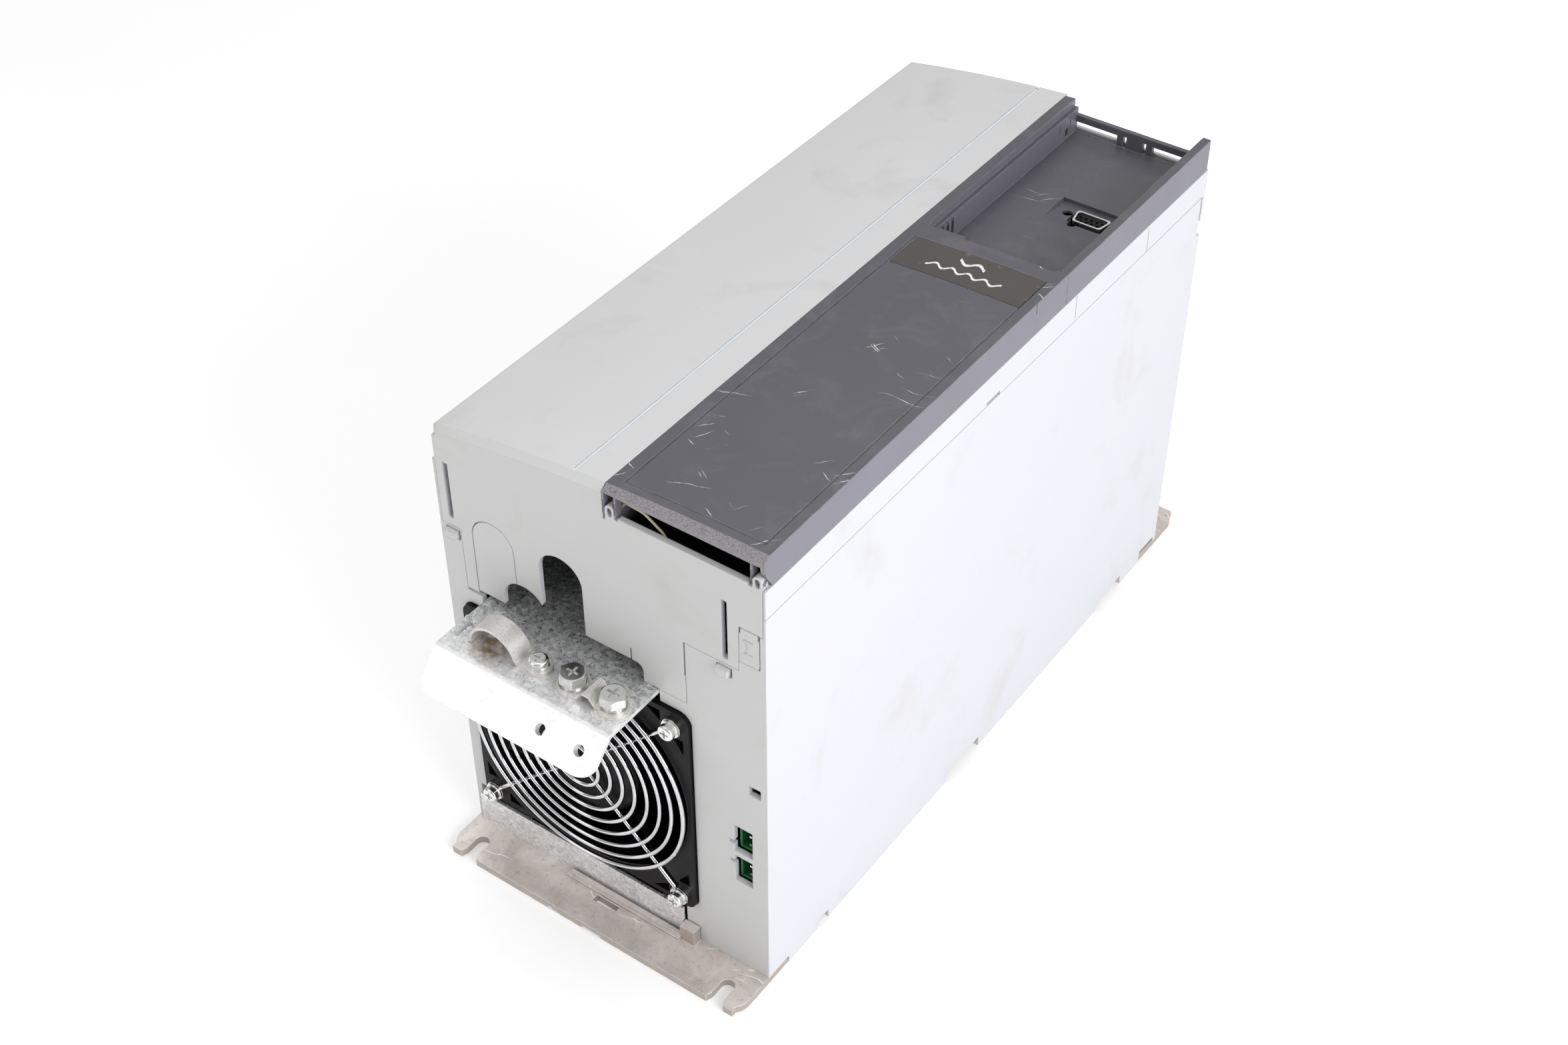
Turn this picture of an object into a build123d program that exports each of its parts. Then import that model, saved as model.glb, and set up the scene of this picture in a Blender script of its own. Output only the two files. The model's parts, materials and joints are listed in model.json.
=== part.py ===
from build123d import *
import math
import os

# Variable frequency drive, wall-mounting, lying on its back plate.
# +Z points out of the drive's front, +Y to the keypad end, -Y to the fan and cable end, +X to the right as
# seen from the fan end. The origin is the middle of the four mounting points, on the back plate's underside.

# driving dimensions, mm
half_width = 82.5            # outside of the housing's side walls
end_y = -176.4               # face of the fan-end wall
far_y = 175.0                # face of the air-outlet wall
plate_half_length = 199.5
plate_thickness = 4.0
mount_x = 70.0               # mounting points: 140 mm across, 380 mm along
mount_y = 190.0
slot_width = 6.8
wall = 2.6                   # moulded walls
housing_top = 218.3
outlet_top = 196.8           # top edge of the air-outlet wall
cover_bottom = 218.6
latch_line = 185.2           # joint between the housing's end wall and the cover's end wall
end_top = 233.8              # top edge of the cover's end wall
crown_radius = 855.0         # the front is one shallow arch across its width
crown_x = 72.1
crown_top = 249.05
cover_split = 6.3            # where the light cover meets the dark terminal cover
joint_y = 43.0               # where the terminal cover meets the keypad cradle
skirt_bottom = 233.0
gap = 0.3                    # clearance around moving or loose pieces
tab_left, tab_right = 70.2, 79.4   # small snap-in cover in the end wall
tab_low, tab_high = 191.0, 208.6
arch_radius = 11.3           # cable arches in the end wall
left_arch_x, middle_arch_x, right_arch_x = -54.1, -39.5, -18.7
arch_centre_z, middle_arch_z = 185.7, 159.0
step_top, step_right = 160.8, 22.0
cable_plate_top = 151.5
cable_plate_thickness = 2.0
cable_plate_left, cable_plate_right = -61.5, 29.5
bend_y = -208.0
flange_length = 20.6
fan_x, fan_z = -14.7, 84.9
fan_size, fan_depth, fan_hole_pitch = 119.4, 38.0, 105.0
fan_face = -178.4
fan_bore = 57.6
blade_tip, hub_radius = 56.4, 29.5
fan_opening = 120.4
hinge_y, hinge_z, hinge_pin_radius = -174.2, 235.2, 1.4
lug_spans = ((7.6, 11.7), (76.8, 80.9))
slab_bottom, slab_top = 133.0, 146.0
fin_thickness, fin_count = 2.2, 15
power_card_z, control_card_z, card_thickness = 164.0, 212.0, 1.6
pocket_left, pocket_right, pocket_floor = 14.0, 78.5, 231.0
clamp_y = -194.6
bolt_x = (0.5, 21.2)
saddle_screw_x = -17.4


def crown(x, drop=0.0):
    """Height of the crowned front at x, less a drop."""
    return crown_top - drop - (crown_radius - math.sqrt(crown_radius**2 - (x - crown_x) ** 2))


def block(x0, x1, y0, y1, z0, z1):
    return Pos((x0 + x1) / 2, (y0 + y1) / 2, (z0 + z1) / 2) * Box(x1 - x0, y1 - y0, z1 - z0)


def rod_x(y, z, radius, x0, x1):
    return Pos((x0 + x1) / 2, y, z) * Rot(0, 90, 0) * Cylinder(radius, x1 - x0)


def rod_y(x, z, radius, y0, y1):
    return Pos(x, (y0 + y1) / 2, z) * Rot(90, 0, 0) * Cylinder(radius, y1 - y0)


def rod_z(x, y, radius, z0, z1):
    return Pos(x, y, (z0 + z1) / 2) * Cylinder(radius, z1 - z0)


def along_y(sketch, y0, y1):
    """A sketch drawn in x and z, made solid from y0 to y1."""
    return extrude(Plane.XZ.offset(-y1) * sketch, amount=y1 - y0)


def along_x(sketch, x0, x1):
    """A sketch drawn in y and z, made solid from x0 to x1."""
    return extrude(Plane.YZ.offset(x0) * sketch, amount=x1 - x0)


def polygon(*points):
    return make_face(Polyline(*points, close=True))


def crowned(x0, x1, bottom, drop=0.0):
    """Section in x and z with a flat bottom and the front's arch as its top."""
    middle = (x0 + x1) / 2
    top = ThreePointArc((x0, crown(x0, drop)), (middle, crown(middle, drop)), (x1, crown(x1, drop)))
    sides = Polyline((x1, crown(x1, drop)), (x1, bottom), (x0, bottom), (x0, crown(x0, drop)))
    return make_face(top + sides)


def arch(x, centre_z, bottom, radius=arch_radius):
    """Round-topped opening in x and z."""
    straight = Pos(x, (centre_z + bottom) / 2) * Rectangle(2 * radius, centre_z - bottom)
    return straight + Pos(x, centre_z) * Circle(radius)


def rounded(x0, x1, z0, z1, radius):
    return Pos((x0 + x1) / 2, (z0 + z1) / 2) * RectangleRounded(x1 - x0, z1 - z0, radius)


def write(name, *solids):
    """One STEP file for each node; loose pieces of one node stay separate solids."""
    pieces = [piece for solid in solids for piece in solid.solids()]
    shape = pieces[0] if len(pieces) == 1 else Compound(children=pieces)
    shape.label = name
    export_step(shape, f"parts/{name}.step")


# ---- base, heat sink and housing -------------------------------------------------------------------

base_screw_spots = [(x, y) for x in (-73.0, 73.0) for y in (-157.0, 157.0)]
leg_xs = (-75.0, 45.0)
leg_screw_ys = (-110.0, 0.0, 120.0)
bracket_screw_spots = [(-60.0, -168.0), (20.0, -168.0)]
foot_split = 152.0            # the feet meet the middle of the base inside the housing


def whole_base():
    inner = half_width - wall - gap
    ear_start = 160.5
    plate = block(-inner, inner, -plate_half_length, plate_half_length, 0, plate_thickness)
    for side in (-1, 1):
        ear = rounded(-half_width + 0.3, half_width - 0.3, 0, plate_half_length - ear_start + 20, 9)
        ear = extrude(ear, amount=plate_thickness)
        y0 = ear_start - 20 if side > 0 else -plate_half_length
        plate += Pos(0, y0, 0) * ear
    # the housing's side walls reach past the plate's edges between the ears
    for x0, x1 in ((-90, -inner), (inner, 90)):
        plate -= block(x0, x1, -162.0, 158.0, -1, 10)
    for x in (-mount_x, mount_x):
        plate -= rod_z(x, -mount_y, slot_width / 2, -1, 9)
        plate -= block(x - slot_width / 2, x + slot_width / 2, -plate_half_length - 5, -mount_y, -1, 9)
        mouth = slot_width / 2 + 1.4
        flare = polygon((x - mouth, -200), (x + mouth, -200), (x + slot_width / 2, -196.4),
                        (x - slot_width / 2, -196.4))
        plate -= Pos(0, 0, -1) * extrude(flare, amount=9)
        plate -= rod_z(x, mount_y, slot_width / 2, -1, 9)
        plate -= block(x - slot_width / 2, x + slot_width / 2, mount_y - 8, mount_y, -1, 9)
        plate -= rod_z(x, mount_y - 8, 6.0, -1, 9)
    plate -= block(-7.3, 5.2, -186.8, -183.4, -1, 9)
    plate -= block(-4.0, 7.0, -200, -198.6, -1, 1.6)
    # cast rib and post in front of the fan
    plate += block(-25.7, 38.0, -183.0, -179.2, plate_thickness - 0.5, 5.4)
    plate += block(-24.5, 38.0, -181.6, -179.2, plate_thickness - 0.5, 6.2)
    plate += block(38.0, 45.6, -181.4, -176.8, plate_thickness - 0.5, 12.9)
    for x, y in base_screw_spots:
        plate -= rod_z(x, y, 2.3, -1, 9)
        plate -= Pos(x, y, 0.9) * Cone(4.4, 2.3, 2.2)
    for x in leg_xs:
        for y in leg_screw_ys:
            plate -= rod_z(x, y, 2.3, -1, 9)
            plate -= Pos(x, y, 0.9) * Cone(4.4, 2.3, 2.2)
    for x, y in bracket_screw_spots:
        plate -= rod_z(x, y, 2.05, 1.0, 9)
    return plate


def base_parts():
    """Middle of the base and its two feet, which carry the mounting slots and keyholes."""
    plate = whole_base()
    return [plate & block(-90, 90, y0, y1, -1, 20)
            for y0, y1 in ((-foot_split, foot_split), (-210, -foot_split), (foot_split, 210))]


def countersunk(x, y, top):
    return rod_z(x, y, 2.0, 0.3, top) + Pos(x, y, 1.1) * Cone(3.9, 2.0, 1.8)


def heat_sink():
    y0, y1 = -132.0, 150.0
    sink = block(-77.0, 47.0, y0, y1, slab_bottom, slab_top)
    pitch = (leg_xs[1] - leg_xs[0]) / (fin_count - 1)
    for number in range(fin_count):
        x = leg_xs[0] + number * pitch
        leg = number in (0, fin_count - 1)
        half = 3.4 if leg else fin_thickness / 2
        sink += block(x - half, x + half, y0, y1, plate_thickness if leg else 24.0, slab_bottom)
    for x in leg_xs:
        for y in leg_screw_ys:
            sink -= rod_z(x, y, 2.05, 0, 14)
    for x, y in module_screw_spots + spacer_spots + pillar_spots:
        sink -= rod_z(x, y, 1.65, slab_top - 9, slab_top + 1)
    return sink


def fan_bracket():
    """Galvanised angle on the base plate under the fan."""
    strip = block(-79.3, 37.5, -178.2, -176.8, plate_thickness, 21.1)
    foot = block(-74.0, 36.0, -176.8, -162.0, plate_thickness, plate_thickness + 1.4)
    bracket = strip + foot
    for x, y in bracket_screw_spots:
        bracket -= rod_z(x, y, 2.1, 0, 9)
    # a row of small stamped marks
    for x in range(-74, 34, 5):
        bracket -= block(x, x + 2.2, -178.5, -177.9, 10.4, 12.0)
    return bracket


def bracket_screws():
    seat = plate_thickness + 1.4
    return [pan_screw(x, y, seat, 2.0, 3.6, 2.4, 1.0) for x, y in bracket_screw_spots]


def side_wall(side):
    """Side wall with the stepped lower edge that lets the base plate's edge show."""
    outer, inner = half_width, half_width - wall
    steps = ((end_y, plate_thickness), (-161.5, 0.0), (-140.0, 5.0), (-131.0, 0.0), (-32.5, 6.0), (-3.5, 0.0),
             (110.5, 5.5), (137.0, 0.0), (157.6, 7.0), (far_y, 7.0))
    outline = [(end_y, housing_top), (far_y, housing_top)]
    lower = []
    for (y, z), (next_y, _) in zip(steps, steps[1:]):
        lower += [(y, z), (next_y, z)]
    outline += list(reversed(lower))
    x0, x1 = (inner, outer) if side > 0 else (-outer, -inner)
    return along_x(polygon(*outline), x0, x1)


def relay_windows():
    """Two relay socket windows with their keying notches, and the small slot above them."""
    windows = Pos(70.1, 85.5) * Rectangle(9.4, 16.0) + Pos(70.1, 66.8) * Rectangle(9.0, 15.8)
    windows += Pos(64.3, 82.6) * Rectangle(3.2, 2.2) + Pos(64.6, 70.6) * Rectangle(3.0, 2.2)
    return windows + Pos(76.4, 119.6) * Rectangle(5.9, 5.4)


def housing():
    shell = side_wall(-1) + side_wall(1)
    near = Pos(0, (plate_thickness + latch_line) / 2) * Rectangle(
        2 * half_width, latch_line - plate_thickness)
    near -= rounded(fan_x - fan_opening / 2, fan_x + fan_opening / 2, fan_z - fan_opening / 2,
                    fan_z + fan_opening / 2, 6)
    near -= Pos((-79.6 + 38.6) / 2, 13) * Rectangle(118.2, 26)
    # the cover's end wall reaches down between x = -71.6 and 43.6
    near -= Pos(-14.0, 200) * Rectangle(115.2, 2 * (200 - cable_plate_top - 0.1))
    near -= Pos(-17.0, 145) * Rectangle(93.6, 2 * (cable_plate_top + 0.2 - 145))
    near -= relay_windows()
    for x0, x1 in ((-79.6, -72.0), (58.9, 66.4)):
        near -= Pos((x0 + x1) / 2, 181.4) * Rectangle(x1 - x0, 5.2)
    shell += along_y(near, end_y, end_y + wall)
    # room for the cover's end wall between the two side walls
    shell -= block(-81.4, 81.4, end_y - 1, end_y + wall + gap, latch_line, 240)
    shell -= block(-90, 90, far_y - wall - gap, far_y + 1, outlet_top, 240)
    shell += block(tab_left - 0.4, 82, end_y, end_y + wall, latch_line - 1, tab_low - 0.4)
    shell += block(tab_right + 0.5, 82, end_y, end_y + wall, tab_low - 1, tab_high - 0.2)
    far = Pos(0, (plate_thickness + outlet_top) / 2) * Rectangle(2 * half_width, outlet_top - plate_thickness)
    outlet_bars = 12
    for number in range(outlet_bars):
        z = 30 + number * 8.6
        far -= Pos(-42.0, z) * Rectangle(50, 4.6) + Pos(12.6, z) * Rectangle(50, 4.6)
    shell += along_y(far, far_y - wall, far_y)
    for x, y in base_screw_spots:
        shell += rod_z(x, y, 4.2, plate_thickness, 20) + block(
            min(x, math.copysign(81, x)), max(x, math.copysign(81, x)), y - 2, y + 2, 6, 20)
        shell -= rod_z(x, y, 2.05, 0, 14)
    # ribs that hold the relay card
    for y in (-166.0, -112.0):
        shell += block(76.2, 80.2, y, y + 3, 60, 114)
    return shell


def housing_screws():
    screws = [countersunk(x, y, 13) for x, y in base_screw_spots]
    screws += [countersunk(x, y, 13) for x in leg_xs for y in leg_screw_ys]
    return screws


# ---- front cover and what snaps into it -------------------------------------------------------------

def cover_end_wall():
    """Outline in x and z of the light cover's end wall, with the cable arches."""
    edge = 81.2
    low = latch_line + 0.2
    outline = polygon(
        (-edge, low), (-71.4, low), (-71.4, 153.4), (step_right - 30, 153.4),
        (step_right - 30, cable_plate_top + 0.2), (43.3, cable_plate_top + 0.2), (43.3, 167.2), (42.7, 167.2),
        (42.7, low), (tab_left - 0.6, low), (tab_left - 0.6, tab_low - 0.2), (tab_right + 0.3, tab_low - 0.2),
        (tab_right + 0.3, tab_high), (edge, tab_high), (edge, end_top), (cover_split, end_top),
        (cover_split, crown(cover_split, 1.0)), (-edge, crown(-edge, 1.0)))
    outline -= arch(left_arch_x, arch_centre_z, 150)
    outline -= arch(middle_arch_x, middle_arch_z, 150)
    outline -= arch(right_arch_x, arch_centre_z, 150)
    outline -= rounded(right_arch_x, step_right, 140, step_top, 4)
    outline -= Pos(15.9, 163.7) * Rectangle(0.9, 6.4)
    outline -= rounded(-77.4, -74.6, 189.4, 232.0, 0.9)
    outline -= rounded(61.8, 64.6, 188.0, 218.6, 0.9)
    outline -= Pos((tab_left + tab_right) / 2, (tab_low + tab_high) / 2) * Rectangle(
        tab_right - tab_left + 2 * gap, tab_high - tab_low + 2 * gap)
    return outline


def front_cover():
    far = far_y
    crowned_block = along_y(crowned(-half_width, cover_split, cover_bottom), end_y, far)
    long_edge = crowned_block.edges().filter_by(Axis.Y).sort_by_distance((-half_width, 0, 235))[0]
    crowned_block = fillet(long_edge, radius=3)
    near_edge = [edge for edge in crowned_block.edges() if abs(edge.center().Y - end_y) < 0.01
                 and edge.center().Z > 236 and edge.length > 60]
    crowned_block = chamfer(near_edge, 3.0)
    hollow = along_y(crowned(-half_width + wall, cover_split - wall, 200, wall), end_y + wall, far - wall)
    cover = crowned_block - hollow
    # groove along the crown
    groove_top = crown(-9.0)
    cover -= block(-9.8, -8.3, end_y + 4, far - 1.5, groove_top - 0.5, groove_top + 1)
    cover += along_y(cover_end_wall(), end_y, end_y + wall) - block(
        -90, cover_split, end_y - 1, -170, 231, 260)
    # right-hand strip beside the dark pieces, and the far end wall
    cover += block(half_width - wall, half_width, end_y + wall + gap, far, cover_bottom, skirt_bottom - 0.4)
    cover += block(80.4, 81.2, end_y, end_y + 6, cover_bottom, skirt_bottom - 0.4)
    cover += block(cover_split - 1, half_width, far - wall + 0.9, far, 205, 232.4)
    cover += block(-half_width + 1, cover_split, far - wall, far, 205, 232)
    cover += block(-79.4, 79.4, 167.8, 170.0, 195, 207) + block(-79.4, 79.4, 167.8, far, 205, 207)
    # hinge lugs
    for x0, x1 in lug_spans:
        middle = (x0 + x1) / 2
        radius = (x1 - x0) / 2
        shape = Pos(middle, 234.4) * Rectangle(x1 - x0, 4.0) + Pos(middle, 236.35) * Circle(radius)
        cover += along_y(shape, end_y, end_y + 4.4)
        cover += block(x0, x1, end_y, end_y + 4.4, 228, 233)
        cover -= along_y(rounded(middle - 1.2, middle + 1.2, 232.9, 237.2, 1.1), end_y - 1, end_y + 6)
        cover -= rod_x(hinge_y, hinge_z, hinge_pin_radius + 0.05, x0 - 1, x1 + 1)
    # room for the terminal cover's hinge arms, and ledges that carry the keypad cradle
    for x0, x1 in ((11.8, 13.8), (74.7, 76.7)):
        cover -= block(x0, x1, end_y - 1, end_y + wall + 1, 232.5, 236)
    cover -= block(cover_split - 0.1, 7.5, end_y - 1, end_y + wall + 1, 230.6, 236)
    cover += block(cover_split - 1, 12.0, 48, 166, 225.0, pocket_floor - 3.0)
    cover += block(8.6, 11.9, 161.8, 163.8, pocket_floor - 3.1, 235.8)
    cover += block(76.0, 80.4, 48, 166, 225.0, pocket_floor - 3.0)
    cover += block(81.5, half_width, end_y, end_y + wall + gap, cover_bottom, skirt_bottom - 0.4)
    # side details: short slot on the joint line and two moulded seams
    for side in (-1, 1):
        x0, x1 = (half_width - 0.8, 90) if side > 0 else (-90, -half_width + 0.8)
        cover -= block(x0, x1, -20.0, -9.4, 218, 220.4)
        cover -= block(x0 + 0.3 * side, x1, 52.8, 53.3, 220.4, 232)
        cover -= block(x0 + 0.3 * side, x1, 117.8, 118.3, 218, 231)
    return cover


def knock_out_panel():
    panel = arch(left_arch_x, arch_centre_z, 154.8, arch_radius - 0.45)
    panel -= arch(middle_arch_x, middle_arch_z, 140, arch_radius + 0.1)
    plate = along_y(panel, end_y + 0.1, end_y + 2.3)
    back_lip = arch(left_arch_x, arch_centre_z, 166, arch_radius + 2.4)
    back_lip -= arch(middle_arch_x, middle_arch_z, 140, arch_radius + 0.1)
    back_lip -= Pos(right_arch_x, 185) * Rectangle(2 * arch_radius + 8, 80)
    plate += along_y(back_lip, end_y + 2.7, end_y + 3.9)
    return plate + rod_y(left_arch_x, 184, 5, end_y + 2, end_y + 3)


def tab_cover():
    tab = along_y(rounded(tab_left, tab_right, tab_low, tab_high, 0.7), end_y - 0.2, end_y + 2.2)
    tab += block(tab_left - 1, tab_right + 0.1, end_y + wall + 0.1, end_y + wall + 1.1,
                 tab_low - 0.8, tab_high + 0.8)
    tab += block(tab_left + 0.8, tab_right - 0.4, end_y + 2, end_y + wall + 0.2, tab_low + 1, tab_high - 0.6)
    # grip bars on the face and the two pry notches at its upper corners
    for z in (196.4, 203.2):
        tab += block(tab_left + 2.4, tab_right - 2.8, end_y - 0.5, end_y, z - 0.4, z + 0.4)
    tab += block(74.2, 75.0, end_y - 0.5, end_y, 196.4, 203.2)
    for x in (tab_left, tab_right):
        tab -= block(x - 0.7, x + 0.7, end_y - 1, end_y + 1.6, tab_high - 2.6, tab_high + 1)
    return tab


def latch_button(x0, x1):
    """Finger block that stands 2 mm out of the end wall, with a spring tail behind it."""
    finger = block(x0, x1, end_y - 2.1, end_y + 3.4, 179.5, 183.3)
    return finger + block(x0 + 1.6, x1 - 1.6, end_y + 3.4, end_y + 4.4, 170, 183.3)


# ---- dark terminal cover, label and keypad cradle ---------------------------------------------------

dark_left = cover_split + gap


def terminal_cover():
    top = crowned(dark_left, half_width, skirt_bottom)
    cover = along_y(top, end_y, joint_y - gap / 2)
    near_edge = [edge for edge in cover.edges() if abs(edge.center().Y - end_y) < 0.01
                 and edge.center().Z > 245 and edge.length > 60]
    cover = chamfer(near_edge, 3.0, 2.2)
    cover -= along_y(crowned(dark_left + 1.1, half_width - 2.3, 200, 2.4), end_y + 2.0, joint_y - 2.4)
    # open under the lip, so that the end wall and the lugs pass
    cover -= block(dark_left + 0.7, 81.2, end_y - 1, -171.5, 200, 239.6)
    cover -= block(dark_left + 0.7, half_width - 2.3, end_y - 1, -171.5, 200, 243.9)
    cover -= block(dark_left - 1, dark_left + 1.2, -172.6, joint_y + 1, 200, 236.4)
    cover -= block(dark_left - 1, dark_left + 1.2, end_y - 1, -172.6, 200, 234.0)
    cover -= block(half_width - 2.4, 81.2, end_y - 1, -169.8, 200, 239.6)
    nose = polygon((end_y - 1, 230), (-170.6, 230), (-172.1, 233.8), (-175.4, 239.2), (end_y, 244.6),
                   (end_y - 1, 244.6))
    cover -= along_x(nose, half_width - 3, half_width + 1)
    # recessed outline on the face and the seat of the label
    for x0, x1 in ((12.3, 13.1), (77.4, 78.2)):
        cover -= block(x0, x1, -169.2, 33, crown(x0) - 0.5, crown(x0) + 2)
    groove = crowned(12.3, 78.2, crown(12.3) - 5, 0) - crowned(11, 80, crown(12.3) - 8, 0.45)
    cover -= along_y(groove, -169.6, -168.8)
    label_seat = crowned(13.6, 78.0, crown(13.6) - 5, -1) - crowned(11, 80, crown(12.3) - 8, 0.35)
    cover -= along_y(label_seat, 9.6, 32.8)
    # shallow finger recess in the far edge, and the small notch on the skirt
    notch = polygon((30, 45), (32.4, 40.8), (76.6, 40.8), (78.4, 45))
    cover -= Pos(0, 0, 245.4) * extrude(notch, amount=6)
    cover -= block(81.9, 84, 16.6, 17.4, 243.5, 250)
    # hinge arms and pins
    for (x0, x1), (arm0, arm1) in zip(lug_spans, ((12.0, 12.9), (75.6, 76.5))):
        cover += block(arm0, arm1, hinge_y - 1.9, hinge_y + 1.9, hinge_z, 246.0)
        cover += rod_x(hinge_y, hinge_z, 1.9, arm0, arm1)
        pin0, pin1 = (dark_left + 0.2, arm1) if x0 < 40 else (arm0, x1 - 0.1)
        cover += rod_x(hinge_y, hinge_z, hinge_pin_radius, pin0, pin1)
    return cover


def label_plate():
    film = crowned(13.9, 77.7, crown(13.9) - 5, 0.05) - crowned(11, 80, crown(12.3) - 8, 0.33)
    return along_y(film, 9.9, 32.5)


def cradle_windows():
    """Openings low in the cradle's end wall, in x and z."""
    windows = Pos(25.1, 234.0) * Rectangle(22.6, 5.2) + Pos(66.2, 234.0) * Rectangle(22.6, 5.2)
    return windows + Pos(40.5, 234.2) * Rectangle(1.8, 5.6) + Pos(50.8, 234.2) * Rectangle(1.8, 5.6)


socket_x, socket_y = 58.2, 107.6
lamp_x, lamp_y = 45.4, 109.6


def keypad_cradle():
    y0, y1 = joint_y + gap / 2, 173.2
    body = along_y(crowned(dark_left, half_width, pocket_floor - 3), y0, y1)
    body -= along_y(Pos(46.25, 245) * Rectangle(pocket_right - pocket_left, 2 * (245 - pocket_floor)),
                    y0 + 3.0, y1 - 2.2)
    # the left rail steps down to a ledge inside
    body -= along_y(Pos(13.0, 248) * Rectangle(2.4, 10), y0 + 3.0, y1 + 1)
    body -= block(13.9, 78.6, y1 - 2.3, y1 + 1, 240.0, 252)
    body -= block(13.0, 78.6, y0 - 1, y0 + 3.1, 243.4, 252)
    body -= along_y(cradle_windows(), y1 - 4, y1 + 1)
    # skirt line: the cradle's right skirt stands on the light strip, the rest sits inside
    body -= block(half_width - wall - gap, half_width + 1, y0 - 1, y1 + 1, 200, skirt_bottom)
    # stepped floor round the socket: deepest at its far edge
    step = polygon((97.0, pocket_floor + 0.1), (118.6, pocket_floor - 2.2), (118.6, pocket_floor + 5),
                   (97.0, pocket_floor + 5))
    body -= along_x(step, 38.4, pocket_right)
    body -= Pos(socket_x, socket_y, 226) * extrude(rounded(-10.2, 10.2, -6.3, 6.3, 4.4), amount=8)
    body -= rod_z(socket_x - 6.2, socket_y - 6.4, 2.2, 226, 234)
    body -= rod_z(lamp_x, lamp_y, 2.6, 226, 234)
    # keypad clips on both rails
    for y in (52.0, 56.0, 60.0):
        body += block(13.4, 15.4, y, y + 1.8, pocket_floor - 0.2, 242.4)
        body += block(77.6, 79.0, y, y + 1.8, pocket_floor - 0.2, 242.4)
    # clip window near the far end of the left rail
    body -= block(6.0, 14.6, 161.4, 164.2, 232.4, 236.4) + block(8.2, 12.3, 161.4, 164.2, 227, 234)
    body -= block(13.0, 14.6, 155.8, 156.4, 236.4, 241) + block(13.0, 14.6, 165.4, 166.0, 232.4, 241)
    return body


def d_outline(width, height, shrink=0.0):
    """D-shaped socket outline."""
    w, h = width / 2 - shrink, height / 2 - shrink
    return fillet(polygon((-w, h), (w, h), (w - 1.6, -h), (-w + 1.6, -h)).vertices(), 1.5)


def keypad_socket():
    """Nine-pole socket: steel shell, insert with holes, contacts."""
    shell_wall = 0.9
    shell = Pos(socket_x, socket_y, 222.0) * extrude(d_outline(17.4, 9.0), amount=9.6)
    shell -= Pos(socket_x, socket_y, 221.0) * extrude(d_outline(17.4, 9.0, shell_wall), amount=12)
    insert = Pos(socket_x, socket_y, control_card_z + card_thickness) * extrude(
        d_outline(17.4, 9.0, shell_wall + 0.05), amount=17.0)
    contacts = []
    for row, count in ((1.42, 5), (-1.42, 4)):
        for number in range(count):
            x = socket_x + (number - (count - 1) / 2) * 2.77
            insert -= rod_z(x, socket_y + row, 0.72, 223, 232)
            contact = rod_z(x, socket_y + row, 0.7, 223, 229.6) - rod_z(x, socket_y + row, 0.45, 226, 230)
            contacts.append(contact)
    return shell, insert, contacts


def lamp_pipe():
    return rod_z(lamp_x, lamp_y, 1.9, control_card_z + card_thickness, 226.0)


# ---- cable plate and clamps -------------------------------------------------------------------------

spacer_spots = [(-44.0, -126.0), (12.0, -126.0)]
flange_turn = 45


def on_flange():
    """Plane on the flange's upper face: x along the bend, y back towards the bend."""
    slope = math.radians(flange_turn)
    upward = (0, -math.sin(slope), math.cos(slope))
    return Plane(origin=(0, bend_y, cable_plate_top), x_dir=(1, 0, 0), z_dir=upward)


def cable_plate():
    """Flat plate with a bent-down flange that carries two threaded collars."""
    low = cable_plate_top - cable_plate_thickness
    down_y = flange_length * math.cos(math.radians(flange_turn))
    down_z = flange_length * math.sin(math.radians(flange_turn))
    inset_y = cable_plate_thickness * math.sin(math.radians(flange_turn))
    inset_z = cable_plate_thickness * math.cos(math.radians(flange_turn))
    inner_bend = bend_y + math.tan(math.radians(flange_turn / 2)) * cable_plate_thickness
    back_y, tip_y, tip_z = -132.5, bend_y - down_y, cable_plate_top - down_z
    section = polygon((back_y, cable_plate_top), (bend_y, cable_plate_top), (tip_y, tip_z),
                      (tip_y + inset_y, tip_z - inset_z), (inner_bend, low), (back_y, low))
    outer_bend = [v for v in section.vertices() if abs(v.X - bend_y) < 0.01 and v.Y > low + 0.1]
    section = fillet(outer_bend, 3.0)
    plate = along_x(section, cable_plate_left, cable_plate_right)
    plate += block(-52.0, 20.0, -134.0, -118.0, low, cable_plate_top)
    corner_radius = 8.0
    for x, side in ((cable_plate_left, 1), (cable_plate_right, -1)):
        centre = Pos(x + side * corner_radius, -flange_length + corner_radius)
        square = Pos(x, -flange_length) * Rectangle(2 * corner_radius, 2 * corner_radius)
        plate -= extrude(on_flange() * (square - centre * Circle(corner_radius)), amount=5, both=True)
    for x in (-0.2, 19.6):
        plate += extrude(on_flange() * (Pos(x, -10.7) * Circle(3.6)), amount=-3.6)
        plate -= extrude(on_flange() * (Pos(x, -10.7) * Circle(2.5)), amount=9, both=True)
    for x in (-58.2, -51.1):
        plate -= block(x, x + 1.9, clamp_y - 5.4, clamp_y + 5.4, low - 1, 160)
    for x in bolt_x:
        plate -= rod_z(x, clamp_y, 2.55, low - 1, 160)
    plate -= rod_z(saddle_screw_x, clamp_y, 2.05, low - 1, 160)
    for x, y in spacer_spots:
        plate -= rod_z(x, y, 2.1, low - 1, 160)
    return plate


def cable_plate_spacers():
    return [rod_z(x, y, 4.5, slab_top, 149.5) - rod_z(x, y, 2.1, 140, 155) for x, y in spacer_spots]


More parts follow.
